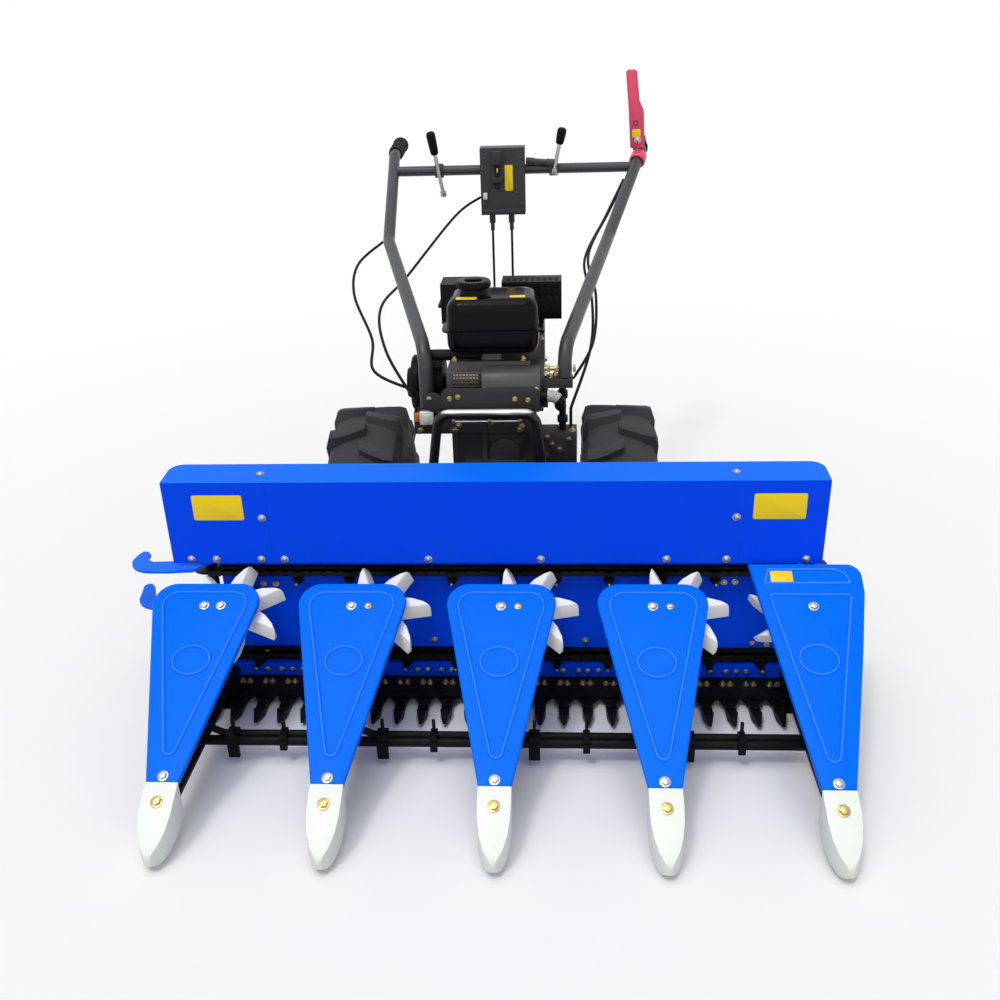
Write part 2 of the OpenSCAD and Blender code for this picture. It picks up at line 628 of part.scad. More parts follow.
module clutch_lever() color([0.9, 0.15, 0.28]) difference() {
    union() {
        along = unit(right_pts[3] - right_pts[2]);
        rod(right_pts[3] - along * 60, right_pts[3] - along * 26, tube_r + 7);
        translate([0, lever_y + lever_t / 2 - 18, 0]) rotate([90, 0, 0]) linear_extrude(lever_t) polygon([[355, 995],
            [396, 995], [391, 1097], [378, 1124], [369, 1200], [365, 1206], [343, 1206], [338, 1200], [345, 1126],
            [348, 1098]]);
    }
    rod(right_pts[2], right_pts[3], tube_r + fit);
    rod(right_pts[3], right_pts[4], tube_r + 5 + 2);
}
bar_mid = (on_bar(left_pts) + on_bar(right_pts)) / 2;
box_x = [-78, 50];
box_y = [bar_mid.y - 42, bar_mid.y + 24];
box_z = [bar_mid.z - 122, bar_mid.z + 64];
gland_x = [-47, 9];
gland_y = box_y[0] + 14;
module control_box() color(tube_grey) {
    difference() {
        union() {
            box([box_x[0], box_y[0], box_z[0]], [box_x[1], box_y[1], box_z[1]]);
            box([box_x[0] + 6, box_y[0] - 7, box_z[0] + 3], [box_x[1] - 6, box_y[0] + 1, box_z[0] + 16]);
        }
        rod(on_bar(left_pts), on_bar(right_pts), 14 + fit);
        box([-36, box_y[0] - 1, box_z[0] + 72], [-22, box_y[0] + 12, box_z[1] - 8]);
    }
    box([-42, box_y[0] - 20, box_z[1] - 44], [-16, box_y[0] + 1, box_z[1] - 8]);
    box([-44, box_y[0] - 12, box_z[0] + 92], [-14, box_y[0] + 1, box_z[0] + 106]);
    for (x = gland_x) {
        rod([x, gland_y, box_z[0] - 24], [x, gland_y, box_z[0] + 2], 9);
        rod([x, gland_y, box_z[0] - 46], [x, gland_y, box_z[0] - 22], 6);
    }
}
function bar_at(x) = on_bar(left_pts) + (on_bar(right_pts) - on_bar(left_pts)) * (x - on_bar(left_pts).x)
    / (on_bar(right_pts).x - on_bar(left_pts).x);
module knobbed(top, foot) {
    down = unit(foot - top);
    rod(top, foot, 6);
    rod(top - down * 4, top + down * 34, 11);
}
lever_x = [-200, 132];
module control_levers() color(black) difference() {
    union() {
        for (x = lever_x) rod(bar_at(x - 12), bar_at(x + 12), 20);
        knobbed(bar_at(lever_x[0]) + [-18, -30, 108], bar_at(lever_x[0]) + [12, -21, -70]);
        knobbed(bar_at(lever_x[1]) + [26, -21, 110], bar_at(lever_x[1]) + [0, -21, -14]);
        rod(bar_at(lever_x[1]) + [-78, -8, 24], bar_at(lever_x[1]) + [4, -18, 18], 8);
    }
    rod(on_bar(left_pts), on_bar(right_pts), 14 + fit);
}
cable_r = 3.5;
// Points of a smooth line through pts, with n steps between two
function smooth(pts, n) = let (last = len(pts) - 1) concat([for (i = [0:last - 1], k = [0:n - 1])
    let (a = pts[max(i - 1, 0)], b = pts[i], c = pts[i + 1], d = pts[min(i + 2, last)], t = k / n)
    b + ((c - a) * t + (2 * a - 5 * b + 4 * c - d) * pow(t, 2) + (3 * b - a - 3 * c + d) * pow(t, 3)) / 2], [pts[last]]);
module cable(pts, end) {
    line = concat(smooth([for (p = pts) [p.x, p.y > 0 ? back(p.y) : p.y, p.z]], 3), [end]);
    for (i = [0:len(line) - 2]) rod(line[i], line[i + 1], cable_r);
    for (i = [1:len(line) - 2]) ball(line[i], line[i + 1] - line[i - 1], cable_r + seam);
}
module cables() color(black) for (x = gland_x) {
    top = [x, gland_y, box_z[0] - 46 - fit];
    bent_tube([top, [x, top.y, 590], [x * 0.6, back(330), 500], [x * 0.6, 90 + fit, 480]], cable_r, 90);
}
module left_cables() color(black) {
    cable([[box_x[0] - 3.4, 770, 874], [-150, 690, 835], [-262, 430, 722], [-300, 200, 694], [-262, 10, 640],
        [-181, -118, 560]], [-181, -118, 536 + fit]);
    cable([[-337, 520, 797], [-385, 390, 764], [-374, 250, 716], [-306, 80, 650], [-284, -40, 606],
        [-181, -84, 572]], [-181, -84, 536 + fit]);
}
module right_cables() color(black) {
    cable([[342, 764, 921], [290, 690, 840], [226, 480, 760], [240, 280, 700], [228, 100, 630], [180, -6, 575]],
        [112 + fit, -6, 575]);
    cable([[334, 772, 916], [280, 690, 826], [216, 480, 748], [230, 280, 688], [222, 100, 616], [172, -90, 530]],
        [172, -90, ledge_z + fit]);
}

// Wheels
lug_in = 86;
module tyre() rotate([0, 90, 0]) {
    w = tyre_w / 2;
    rotate_extrude() polygon([[rim_r, -w + 22], [rim_r + 20, -w + 8], [rim_r + 60, -w], [tyre_r - 60, -w],
        [tyre_r - lug_h - 10, -w + 12], [tyre_r - lug_h, -w + 40], [tyre_r - lug_h, w - 40],
        [tyre_r - lug_h - 10, w - 12], [tyre_r - 60, w], [rim_r + 60, w], [rim_r + 20, w - 8], [rim_r, w - 22]]);
    intersection() {
        rotate_extrude() polygon([[tyre_r - 62, -w + 1], [tyre_r - 30, -w - 1], [tyre_r - 3, -w + 8], [tyre_r, -w + 20],
            [tyre_r, w - 20], [tyre_r - 3, w - 8], [tyre_r - 30, w + 1], [tyre_r - 62, w - 1]]);
        for (s = [0, 1], k = [0:lug_count - 1]) mirror([0, 0, s]) rotate((k + s / 2) * 360 / lug_count)
            translate([tyre_r - 90, 0, 0]) rotate([0, 90, 0]) linear_extrude(100)
                polygon([[4, -14], [4, 14], [-34, 34], [-60, 44], [-92, 44], [-92, 14], [-62, 16], [-40, 8]]);
    }
}
module rim() rotate([0, 90, 0]) difference() {
    rotate_extrude() polygon([[rim_r, -64], [rim_r, 64], [rim_r - 4, 64], [rim_r - 4, 6],
        [28, 6], [28, 40], [axle_r + fit, 40], [axle_r + fit, -100], [28, -100], [28, 0], [rim_r - 4, 0], [rim_r - 4, -64]]);
    for (k = [0:3]) rotate(45 + 90 * k) translate([hole_circle, 0, -1]) cylinder(r = hole_r, h = 8);
}
module left_tyre() color(black) translate([axle_x - track / 2, 0, axle_z]) tyre();
module right_tyre() color(black) translate([axle_x + track / 2, 0, axle_z]) mirror([1, 0, 0]) tyre();
module left_rim() color(iron) translate([axle_x - track / 2, 0, axle_z]) mirror([1, 0, 0]) rim();
module right_rim() color(iron) translate([axle_x + track / 2, 0, axle_z]) rim();

header_frame();
header_coupling();
sprocket_shafts();
back_panel();
shield_centre();
shield_left();
shield_right();
chain_rails();
upper_chain();
lower_chain();
cutter_beam();
knife_guards();
knife();
shield_straps();
divider_cover_1();
divider_cover_2();
divider_cover_3();
divider_cover_4();
divider_cover_5();
divider_tips();
front_frame();
star_brackets();
discharge_hooks();
star_wheel_1();
star_wheel_2();
star_wheel_3();
star_wheel_4();
star_wheel_5();
gearbox();
engine_mount();
crankcase();
fan_housing();
air_intake();
muffler();
fuel_tank();
guard_bar();
shift_linkage();
handle_left();
handle_right();
crossbar();
grips();
clutch_lever();
control_box();
control_levers();
cables();
left_cables();
right_cables();
left_tyre();
left_rim();
right_tyre();
right_rim();
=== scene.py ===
"""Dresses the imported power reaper: finishes for its nodes, new pieces, studio and camera."""
import logging
import math
from dataclasses import dataclass, field
from enum import Enum
from typing import Iterable, Sequence

import bmesh
import bpy
from mathutils import Matrix, Vector


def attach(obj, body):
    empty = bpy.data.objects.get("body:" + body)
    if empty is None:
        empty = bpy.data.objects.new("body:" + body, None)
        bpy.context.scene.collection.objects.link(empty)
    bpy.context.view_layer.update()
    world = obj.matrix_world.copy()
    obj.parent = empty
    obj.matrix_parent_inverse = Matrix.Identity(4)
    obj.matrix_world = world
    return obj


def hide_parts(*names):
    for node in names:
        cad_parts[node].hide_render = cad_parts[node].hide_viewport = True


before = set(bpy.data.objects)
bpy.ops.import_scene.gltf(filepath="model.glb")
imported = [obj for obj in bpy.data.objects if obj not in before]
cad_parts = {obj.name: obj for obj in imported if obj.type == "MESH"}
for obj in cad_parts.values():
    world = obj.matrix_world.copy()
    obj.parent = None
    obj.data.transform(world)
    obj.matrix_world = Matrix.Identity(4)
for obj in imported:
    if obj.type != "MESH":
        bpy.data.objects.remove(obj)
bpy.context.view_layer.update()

LOG = logging.getLogger("reaper")
MACHINE = "machine"

# The places of the source that new pieces are set against, and how far their feet are let in, in metres
HEADER_X = 0.028
DIVIDER_PITCH = 0.300
DIVIDERS = 5
COVER_SLOPE = math.radians(27.4)
TIP_BOLT = (-0.925, 0.095)
SHIELD_FACE_Y = -0.455
PANEL_Y = -0.410
STRIP_Y = -0.428
BEAM_TOP = 0.027
AXLE_X = -0.014
TRACK = 0.604
AXLE_Z = 0.245
SUNK = 0.0002

FRONT, UP, RIGHT = Vector((0, -1, 0)), Vector((0, 0, 1)), Vector((1, 0, 0))
UPRIGHT = Matrix.Rotation(math.radians(90), 4, "X")


class Tone(Enum):
    """Base colours, linear."""

    BLUE = (0.0, 0.165, 1.0)
    DEEP_BLUE = (0.0, 0.075, 1.0)
    BLACK = (0.006, 0.006, 0.0065)
    TANK = (0.003, 0.003, 0.0035)
    IRON = (0.012, 0.0115, 0.011)
    COWL = (0.085, 0.085, 0.083)
    BOX = (0.044, 0.045, 0.047)
    CAST = (0.005, 0.005, 0.0052)
    TUBE = (0.046, 0.049, 0.052)
    STAR = (0.94, 0.93, 0.90)
    TIP = (0.88, 0.92, 0.88)
    ZINC = (0.46, 0.46, 0.45)
    BRASS = (0.56, 0.42, 0.19)
    MESH = (0.55, 0.55, 0.54)
    YELLOW = (1.0, 0.70, 0.0)
    RED = (1.0, 0.004, 0.028)
    RUBBER = (0.0075, 0.0075, 0.008)
    PLUG = (0.82, 0.80, 0.74)
    SEAL = (0.62, 0.16, 0.02)


class Wire:
    """A node's output that takes part in Python arithmetic."""

    def __init__(self, graph: "Graph", socket: bpy.types.NodeSocket) -> None:
        """Keeps the socket.

        Args:
            graph: the graph that the node is in.
            socket: the node's output.
        """
        self.graph = graph
        self.socket = socket

    def maths(self, operation: str, left: "Wire | float", right: "Wire | float") -> "Wire":
        """Adds a Math node.

        Args:
            operation: the Math node's operation.
            left: the first value.
            right: the second value.

        Returns:
            The node's result.
        """
        return self.graph.add("ShaderNodeMath", {"operation": operation}, {0: left, 1: right})

    def __add__(self, other: "Wire | float") -> "Wire":
        """self + other."""
        return self.maths("ADD", self, other)

    def __radd__(self, other: float) -> "Wire":
        """other + self."""
        return self.maths("ADD", other, self)

    def __sub__(self, other: "Wire | float") -> "Wire":
        """self - other."""
        return self.maths("SUBTRACT", self, other)

    def __rsub__(self, other: float) -> "Wire":
        """other - self."""
        return self.maths("SUBTRACT", other, self)

    def __mul__(self, other: "Wire | float") -> "Wire":
        """self * other."""
        return self.maths("MULTIPLY", self, other)

    def __rmul__(self, other: float) -> "Wire":
        """other * self."""
        return self.maths("MULTIPLY", other, self)

    def above(self, limit: float) -> "Wire":
        """1 where the value is greater than limit, else 0."""
        return self.maths("GREATER_THAN", self, limit)


class Graph:
    """The node graph of one material or of the world."""

    def __init__(self, name: str, world: bool = False) -> None:
        """Starts an empty graph.

        Args:
            name: the name of its owner.
            world: whether the owner is a world and not a material.
        """
        self.owner = (bpy.data.worlds if world else bpy.data.materials).new(name)
        self.owner.use_nodes = True
        self.nodes, self.links = self.owner.node_tree.nodes, self.owner.node_tree.links
        self.end = "ShaderNodeOutputWorld" if world else "ShaderNodeOutputMaterial"
        self.nodes.clear()
        self.place = self.add("ShaderNodeTexCoord", output="Object")

    def add(self, kind: str, settings: dict | None = None, inputs: dict | None = None,
            output: int | str = 0) -> Wire:
        """Adds one node.

        Args:
            kind: the node's type.
            settings: what is set before the sockets, with a ramp's stops under "stops".
            inputs: values or wires by the sockets' names or numbers.
            output: which output is returned.

        Returns:
            That output.
        """
        node = self.nodes.new(kind)
        for key, value in (settings or {}).items():
            if key == "stops":
                ramp = node.color_ramp.elements
                for index, (position, shade) in enumerate(value):
                    stop = ramp[index] if index < len(ramp) else ramp.new(position)
                    stop.position = position
                    stop.color = (shade, shade, shade, 1.0)
            else:
                setattr(node, key, value)
        for key, value in (inputs or {}).items():
            if isinstance(value, Wire):
                self.links.new(value.socket, node.inputs[key])
            else:
                node.inputs[key].default_value = value
        return Wire(self, node.outputs[output])

    def noise(self, scale: float, detail: float = 3.0, stretch: Sequence[float] = (1, 1, 1)) -> Wire:
        """A noise over the object.

        Args:
            scale: the pattern's waves in a metre.
            detail: its octaves.
            stretch: how much each axis is scaled first.

        Returns:
            A value of about 0 to 1.
        """
        where = self.add("ShaderNodeMapping", inputs={"Vector": self.place, "Scale": tuple(stretch)})
        return self.add("ShaderNodeTexNoise", inputs={"Vector": where, "Scale": scale, "Detail": detail})

    def along(self, axis: str) -> Wire:
        """The place along the object's X, Y or Z."""
        return self.add("ShaderNodeSeparateXYZ", inputs={0: self.place}, output=axis)

    def seen(self) -> Wire:
        """1 on what the camera sees, straight, in a reflection or through glass, else 0."""
        camera, gloss, through = (self.add("ShaderNodeLightPath", output=f"Is {ray} Ray")
                                  for ray in ("Camera", "Glossy", "Transmission"))
        return (camera + gloss + through).above(0.5)

    def ramp(self, value: Wire, stops: Sequence[tuple[float, float]]) -> Wire:
        """A grey ramp of (position, shade) stops over a value."""
        return self.add("ShaderNodeValToRGB", {"stops": list(stops)}, {0: value})

    def mix(self, first: Sequence[float] | Wire, second: Sequence[float] | Wire,
            factor: Wire | float) -> Wire:
        """A colour between two.

        Args:
            first: the colour at factor 0.
            second: the colour at factor 1.
            factor: how far between them.

        Returns:
            The mixed colour.
        """
        def four(colour: Sequence[float] | Wire) -> Sequence[float] | Wire:
            """A colour with its alpha."""
            return colour if isinstance(colour, Wire) else (*colour, 1.0)

        return self.add("ShaderNodeMix", {"data_type": "RGBA"}, {0: factor, 6: four(first), 7: four(second)}, 2)

    def bump(self, height: Wire, strength: float, distance: float) -> Wire:
        """A normal from a height."""
        return self.add("ShaderNodeBump", None, {"Strength": strength, "Distance": distance, "Height": height})

    def shade(self, sockets: dict) -> bpy.types.Material:
        """Closes the graph with the shader.

        Args:
            sockets: what the shader's sockets take.

        Returns:
            The finished material.
        """
        self.close(self.add("ShaderNodeBsdfPrincipled", inputs=sockets))
        return self.owner

    def close(self, surface: Wire) -> None:
        """Links a shader to the graph's output."""
        self.links.new(surface.socket, self.nodes.new(self.end).inputs["Surface"])


def lit(tone: Tone, share: float) -> tuple[float, ...]:
    """A tone made lighter or darker by a share."""
    return tuple(min(1.0, c * share) for c in tone.value)


@dataclass(frozen=True)
class Finish:
    """What every finish has."""

    name: str
    tone: Tone
    roughness: float = 0.4
    coat: float = 0.0
    spread: float = 0.12
    grain: float = 300.0
    grain_depth: float = 0.0002
    metal: float = 0.0
    dust: float = 0.0
    shine: float = 0.3

    def material(self) -> bpy.types.Material:
        """Makes the material once, and gives it again after that.

        Returns:
            The material.
        """
        made = bpy.data.materials.get(self.name)
        return made if made else self.make()

    def varied(self, graph: Graph, tone: Tone, waves: float = 3.1) -> Wire:
        """A tone with its broad variation.

        Args:
            graph: the material's graph.
            tone: the tone that it varies about.
            waves: the variation's waves in a metre.

        Returns:
            The colour.
        """
        return graph.mix(lit(tone, 1 - self.spread), lit(tone, 1 + self.spread), graph.noise(waves))

    def smudged(self, graph: Graph, waves: float = 17.0, share: float = 0.10) -> Wire:
        """The roughness with smudges.

        Args:
            graph: the material's graph.
            waves: the smudges' waves in a metre.
            share: how much rougher a smudge is.

        Returns:
            The roughness.
        """
        return self.roughness + share * graph.ramp(graph.noise(waves, 5.0), [(0.35, 0.0), (0.75, 1.0)])

    def make(self) -> bpy.types.Material:
        """A painted or moulded surface with broad and fine variation.

        Returns:
            The material.
        """
        graph = Graph(self.name)
        fine = graph.noise(self.grain, 2.0)
        colour = self.varied(graph, self.tone)
        if self.dust:
            specks = graph.ramp(graph.noise(60.0, 6.0), [(0.45, 0.0), (0.8, 1.0)]) * self.dust
            colour = graph.mix(colour, (0.20, 0.17, 0.13), specks)
        rough = self.smudged(graph) + 0.05 * fine
        return graph.shade({"Base Color": colour, "Roughness": rough, "Metallic": self.metal,
                            "Coat Weight": self.coat, "Coat Roughness": 0.08, "Specular IOR Level": self.shine,
                            "Normal": graph.bump(fine, 0.35, self.grain_depth)})


@dataclass(frozen=True)
class WornSteel(Finish):
    """Oiled or plated metal with streaks and darker pits."""

    def make(self) -> bpy.types.Material:
        """Metal whose colour and gloss change in streaks.

        Returns:
            The material.
        """
        graph = Graph(self.name)
        streaks = graph.noise(self.grain, 4.0, (1.0, 1.0, 6.0))
        pits = graph.ramp(graph.noise(130.0, 4.0), [(0.50, 0.0), (0.72, 1.0)])
        colour = graph.mix(lit(self.tone, 1 + self.spread), lit(self.tone, 1 - 2 * self.spread), streaks)
        colour = graph.mix(colour, (0.05, 0.032, 0.020), pits * 0.35)
        rough = self.roughness + 0.18 * pits + 0.08 * streaks
        return graph.shade({"Base Color": colour, "Roughness": rough, "Metallic": self.metal,
                            "Normal": graph.bump(streaks, 0.25, self.grain_depth)})


@dataclass(frozen=True)
class Rubber(Finish):
    """Tyre and grip rubber with dull worn patches and dust."""

    def make(self) -> bpy.types.Material:
        """Rubber with a moulded grain.

        Returns:
            The material.
        """
        graph = Graph(self.name)
        grain = graph.noise(self.grain, 3.0)
        wear_and_highlight = graph.ramp(graph.noise(11.0, 5.0), [(0.40, 0.0), (0.70, 1.0)])
        colour = graph.mix(self.tone.value, lit(self.tone, 1.8), wear_and_highlight * 0.6)
        colour = graph.mix(colour, (0.06, 0.055, 0.045), graph.ramp(grain, [(0.62, 0.0), (0.85, 0.4)]))
        return graph.shade({"Base Color": colour, "Roughness": self.roughness + 0.12 * wear_and_highlight,
                            "Specular IOR Level": self.shine,
                            "Normal": graph.bump(grain, 0.5, self.grain_depth)})


@dataclass(frozen=True)
class Woven(Finish):
    """A bright wrap with rows of dark holes."""

    def make(self) -> bpy.types.Material:
        """Bright cells with dark ones between.

        Returns:
            The material.
        """
        graph = Graph(self.name)
        cells = graph.add("ShaderNodeTexVoronoi", inputs={"Vector": graph.place, "Scale": self.grain},
                          output="Distance")
        holes = graph.ramp(cells, [(0.28, 1.0), (0.42, 0.0)])
        colour = graph.mix(self.tone.value, (0.02, 0.02, 0.02), holes)
        return graph.shade({"Base Color": colour, "Roughness": self.roughness + 0.2 * holes,
                            "Specular IOR Level": self.shine,
                            "Normal": graph.bump(cells, 0.4, self.grain_depth)})


@dataclass(frozen=True)
class SheetPaintLitFlange(Finish):
    """Paint of the header's sheets; above a height the flange is painted the lighter blue as a painted
    highlight of the light from above.
    """

    height: float = 0.0

    def make(self) -> bpy.types.Material:
        """Deep blue below the height, and the lighter blue above it as painted top light.

        Returns:
            The material.
        """
        graph = Graph(self.name)
        fine = graph.noise(self.grain, 2.0)
        face, top = (self.varied(graph, tone, 2.3) for tone in (self.tone, Tone.BLUE))
        # Painted highlight: the flange above the height takes the lighter blue, standing in for light from
        # above on the same paint.
        return graph.shade({"Base Color": graph.mix(face, top, graph.along("Z").above(self.height)),
                            "Roughness": self.smudged(graph, 14.0, 0.08), "Coat Weight": self.coat,
                            "Coat Roughness": 0.08, "Specular IOR Level": self.shine,
                            "Normal": graph.bump(fine, 0.3, self.grain_depth)})


@dataclass(frozen=True)
class CoverPaint(Finish):
    """Paint of the divider covers, with a painted highlight: paler on the crests of their beads."""

    bead_highlight: tuple[float, float, float] = (0.10, 0.36, 1.0)
    rise: float = 240.0

    def make(self) -> bpy.types.Material:
        """Mixes in the paler tone as a painted highlight, by the height above the cover's plane.

        Returns:
            The material.
        """
        graph = Graph(self.name)
        back, up = graph.along("Y") - TIP_BOLT[0], graph.along("Z") - TIP_BOLT[1]
        high = up * math.cos(COVER_SLOPE) - back * math.sin(COVER_SLOPE)
        # Painted highlight: the higher a bead stands above the cover's face, the paler its blue.
        highlight_share = graph.ramp(high * self.rise, [(0.35, 0.0), (0.95, 0.62)])
        fine = graph.noise(self.grain, 2.0)
        return graph.shade({"Base Color": graph.mix(self.varied(graph, self.tone), self.bead_highlight, highlight_share),
                            "Roughness": self.smudged(graph), "Specular IOR Level": self.shine,
                            "Normal": graph.bump(fine, 0.3, self.grain_depth)})


@dataclass(frozen=True)
class TubeWithPaintedHighlight(Finish):
    """Tube paint that turns to bright metal above a height, a painted highlight along the top, with scratches
    breaking its edge.
    """

    height: float = 0.0

    def make(self) -> bpy.types.Material:
        """Paint below, and above the height bright metal as a painted highlight, with scratched edges.

        Returns:
            The material.
        """
        graph = Graph(self.name)
        scratch = graph.noise(90.0, 4.0, (0.3, 3.0, 3.0))
        # Above the height the colour goes to bright metal: a painted highlight along the bar's top, its edge
        # broken by scratch noise.
        wear_and_highlight = graph.ramp((graph.along("Z") - self.height) * 60.0 + 0.55 * scratch, [(0.30, 0.0), (0.62, 1.0)])
        paint = graph.mix(lit(self.tone, 0.9), lit(self.tone, 1.2), graph.noise(5.0))
        colour = graph.mix(paint, (0.80, 0.80, 0.80), wear_and_highlight)
        return graph.shade({"Base Color": colour, "Roughness": self.roughness + 0.12 * scratch,
                            "Metallic": wear_and_highlight * 0.6, "Normal": graph.bump(scratch, 0.2, self.grain_depth)})


PAINT = Finish("blue_paint", Tone.BLUE, 0.26, 0.0, 0.05, 700.0, 0.00004, shine=0.07)
COVER = CoverPaint("cover_paint", Tone.BLUE, 0.20, 0.0, 0.05, 700.0, 0.00003, shine=0.05)
# SHEET paints the flange above 0.5085 m in the lighter blue as painted top light.
SHEET = SheetPaintLitFlange("sheet_paint", Tone.DEEP_BLUE, 0.28, 0.0, 0.05, 700.0, 0.00004, shine=0.06, height=0.5085)
POWDER = Finish("black_powder_coat", Tone.BLACK, 0.36, 0.0, 0.25, 900.0, 0.00010, dust=0.03, shine=0.08)
GLOSS = Finish("black_gloss_paint", Tone.TANK, 0.12, 0.0, 0.15, 500.0, 0.00002, shine=0.10)
CAST = Finish("cast_black", Tone.CAST, 0.38, 0.0, 0.3, 420.0, 0.0003, dust=0.01, shine=0.05)
COWL = Finish("cowl_paint", Tone.COWL, 0.34, 0.0, 0.25, 420.0, 0.0002, dust=0.10, shine=0.30)
TUBE = Finish("tube_paint", Tone.TUBE, 0.30, 0.0, 0.15, 800.0, 0.00008, shine=0.35)
STAR = Finish("star_moulding", Tone.STAR, 0.36, 0.1, 0.05, 500.0, 0.00008, dust=0.04)
TIP = Finish("tip_moulding", Tone.TIP, 0.38, 0.1, 0.05, 500.0, 0.00008, dust=0.04)
PLASTIC = Finish("black_plastic", Tone.BLACK, 0.30, 0.0, 0.2, 1100.0, 0.0001, shine=0.10)
BOX = Finish("box_plastic", Tone.BOX, 0.38, 0.0, 0.15, 1100.0, 0.0001, shine=0.20)
KNOB = Finish("knob_plastic", Tone.TANK, 0.26, 0.0, 0.1, 1100.0, 0.00004, shine=0.10)
PLATE = Finish("plate_yellow", Tone.YELLOW, 0.35, 0.2, 0.05, 500.0, 0.00004)
RED = Finish("lever_red", Tone.RED, 0.30, 0.0, 0.06, 700.0, 0.00008, shine=0.12)
# BAR paints the guard bar bright above 0.5475 m as a painted highlight along its top.
BAR = TubeWithPaintedHighlight("guard_bar_paint", Tone.CAST, 0.34, grain_depth=0.0001, height=0.5475)
WRAP = Woven("hose_wrap", Tone.MESH, 0.4, grain=420.0, grain_depth=0.0004)
WHITE = Finish("white_plug", Tone.PLUG, 0.35, 0.1, 0.08, 600.0, 0.00006, dust=0.10)
SEAL = Finish("orange_seal", Tone.SEAL, 0.45, 0.0, 0.25, 600.0, 0.0001, dust=0.25)
IRON = WornSteel("oiled_iron", Tone.IRON, 0.38, 0.0, 0.35, 80.0, 0.0003, 0.7)
ZINC = WornSteel("zinc_plate", Tone.ZINC, 0.24, 0.0, 0.12, 300.0, 0.0001, 1.0)
BRASS = WornSteel("yellow_zinc", Tone.BRASS, 0.26, 0.0, 0.2, 300.0, 0.0001, 1.0)
RUBBER = Rubber("tyre_rubber", Tone.RUBBER, 0.28, 0.0, 0.2, 260.0, 0.0003, shine=0.5)
SOFT_RUBBER = Rubber("grip_rubber", Tone.RUBBER, 0.46, 0.0, 0.2, 900.0, 0.0002, shine=0.15)
CABLE = Rubber("cable_sheath", Tone.BLACK, 0.38, 0.0, 0.2, 1200.0, 0.00008, shine=0.08)

NODE_FINISHES: dict[Finish, tuple[str, ...]] = {
    SHEET: ("back_panel", "shield_centre", "shield_left", "shield_right"),
    PAINT: ("discharge_hooks",),
    COVER: tuple(f"divider_cover_{number}" for number in range(1, DIVIDERS + 1)),
    POWDER: ("header_frame", "header_coupling", "chain_rails", "front_frame", "star_brackets",
             "cutter_beam", "knife_guards", "fan_housing", "muffler", "shield_straps"),
    CAST: ("gearbox", "engine_mount"),
    COWL: ("crankcase",),
    IRON: ("upper_chain", "lower_chain", "sprocket_shafts", "knife", "shift_linkage", "left_rim", "right_rim"),
    TUBE: ("handle_left", "handle_right", "crossbar"),
    BAR: ("guard_bar",),
    STAR: tuple(f"star_wheel_{number}" for number in range(1, DIVIDERS + 1)),
    TIP: ("divider_tips",),
    GLOSS: ("fuel_tank",),
    RED: ("clutch_lever",),
    RUBBER: ("left_tyre", "right_tyre"),
    SOFT_RUBBER: ("grips", "air_intake"),
    PLASTIC: ("control_levers",),
    BOX: ("control_box",),
    CABLE: ("cables", "left_cables", "right_cables"),
}


def on_cover(divider: int, across: float, along: float, above: float = 0.0) -> Vector:
    """A point on a divider's cover.

    Args:
        divider: 0 to 4 from the left.
        across: metres from the divider's middle.
        along: metres up the slope from the tip bolt.
        above: metres above the face.

    Returns:
        The point in the machine's frame.
    """
    sine, cosine = math.sin(COVER_SLOPE), math.cos(COVER_SLOPE)
    return Vector((HEADER_X + (divider - 2) * DIVIDER_PITCH + across,
                   TIP_BOLT[0] + along * cosine - above * sine,
                   TIP_BOLT[1] + along * sine + above * cosine))


def cover_frame(divider: int) -> Matrix:
    """The frame of a divider's face: X across, Y up the slope, Z out of it."""
    return Matrix.Translation(on_cover(divider, 0, 0)) @ Matrix.Rotation(COVER_SLOPE, 4, "X")


def facing(point: Sequence[float], normal: Sequence[float]) -> Matrix:
    """A frame at a point whose Z is the normal."""
    turn = Vector(normal).normalized().to_track_quat("Z", "Y").to_matrix().to_4x4()
    return Matrix.Translation(Vector(point)) @ turn


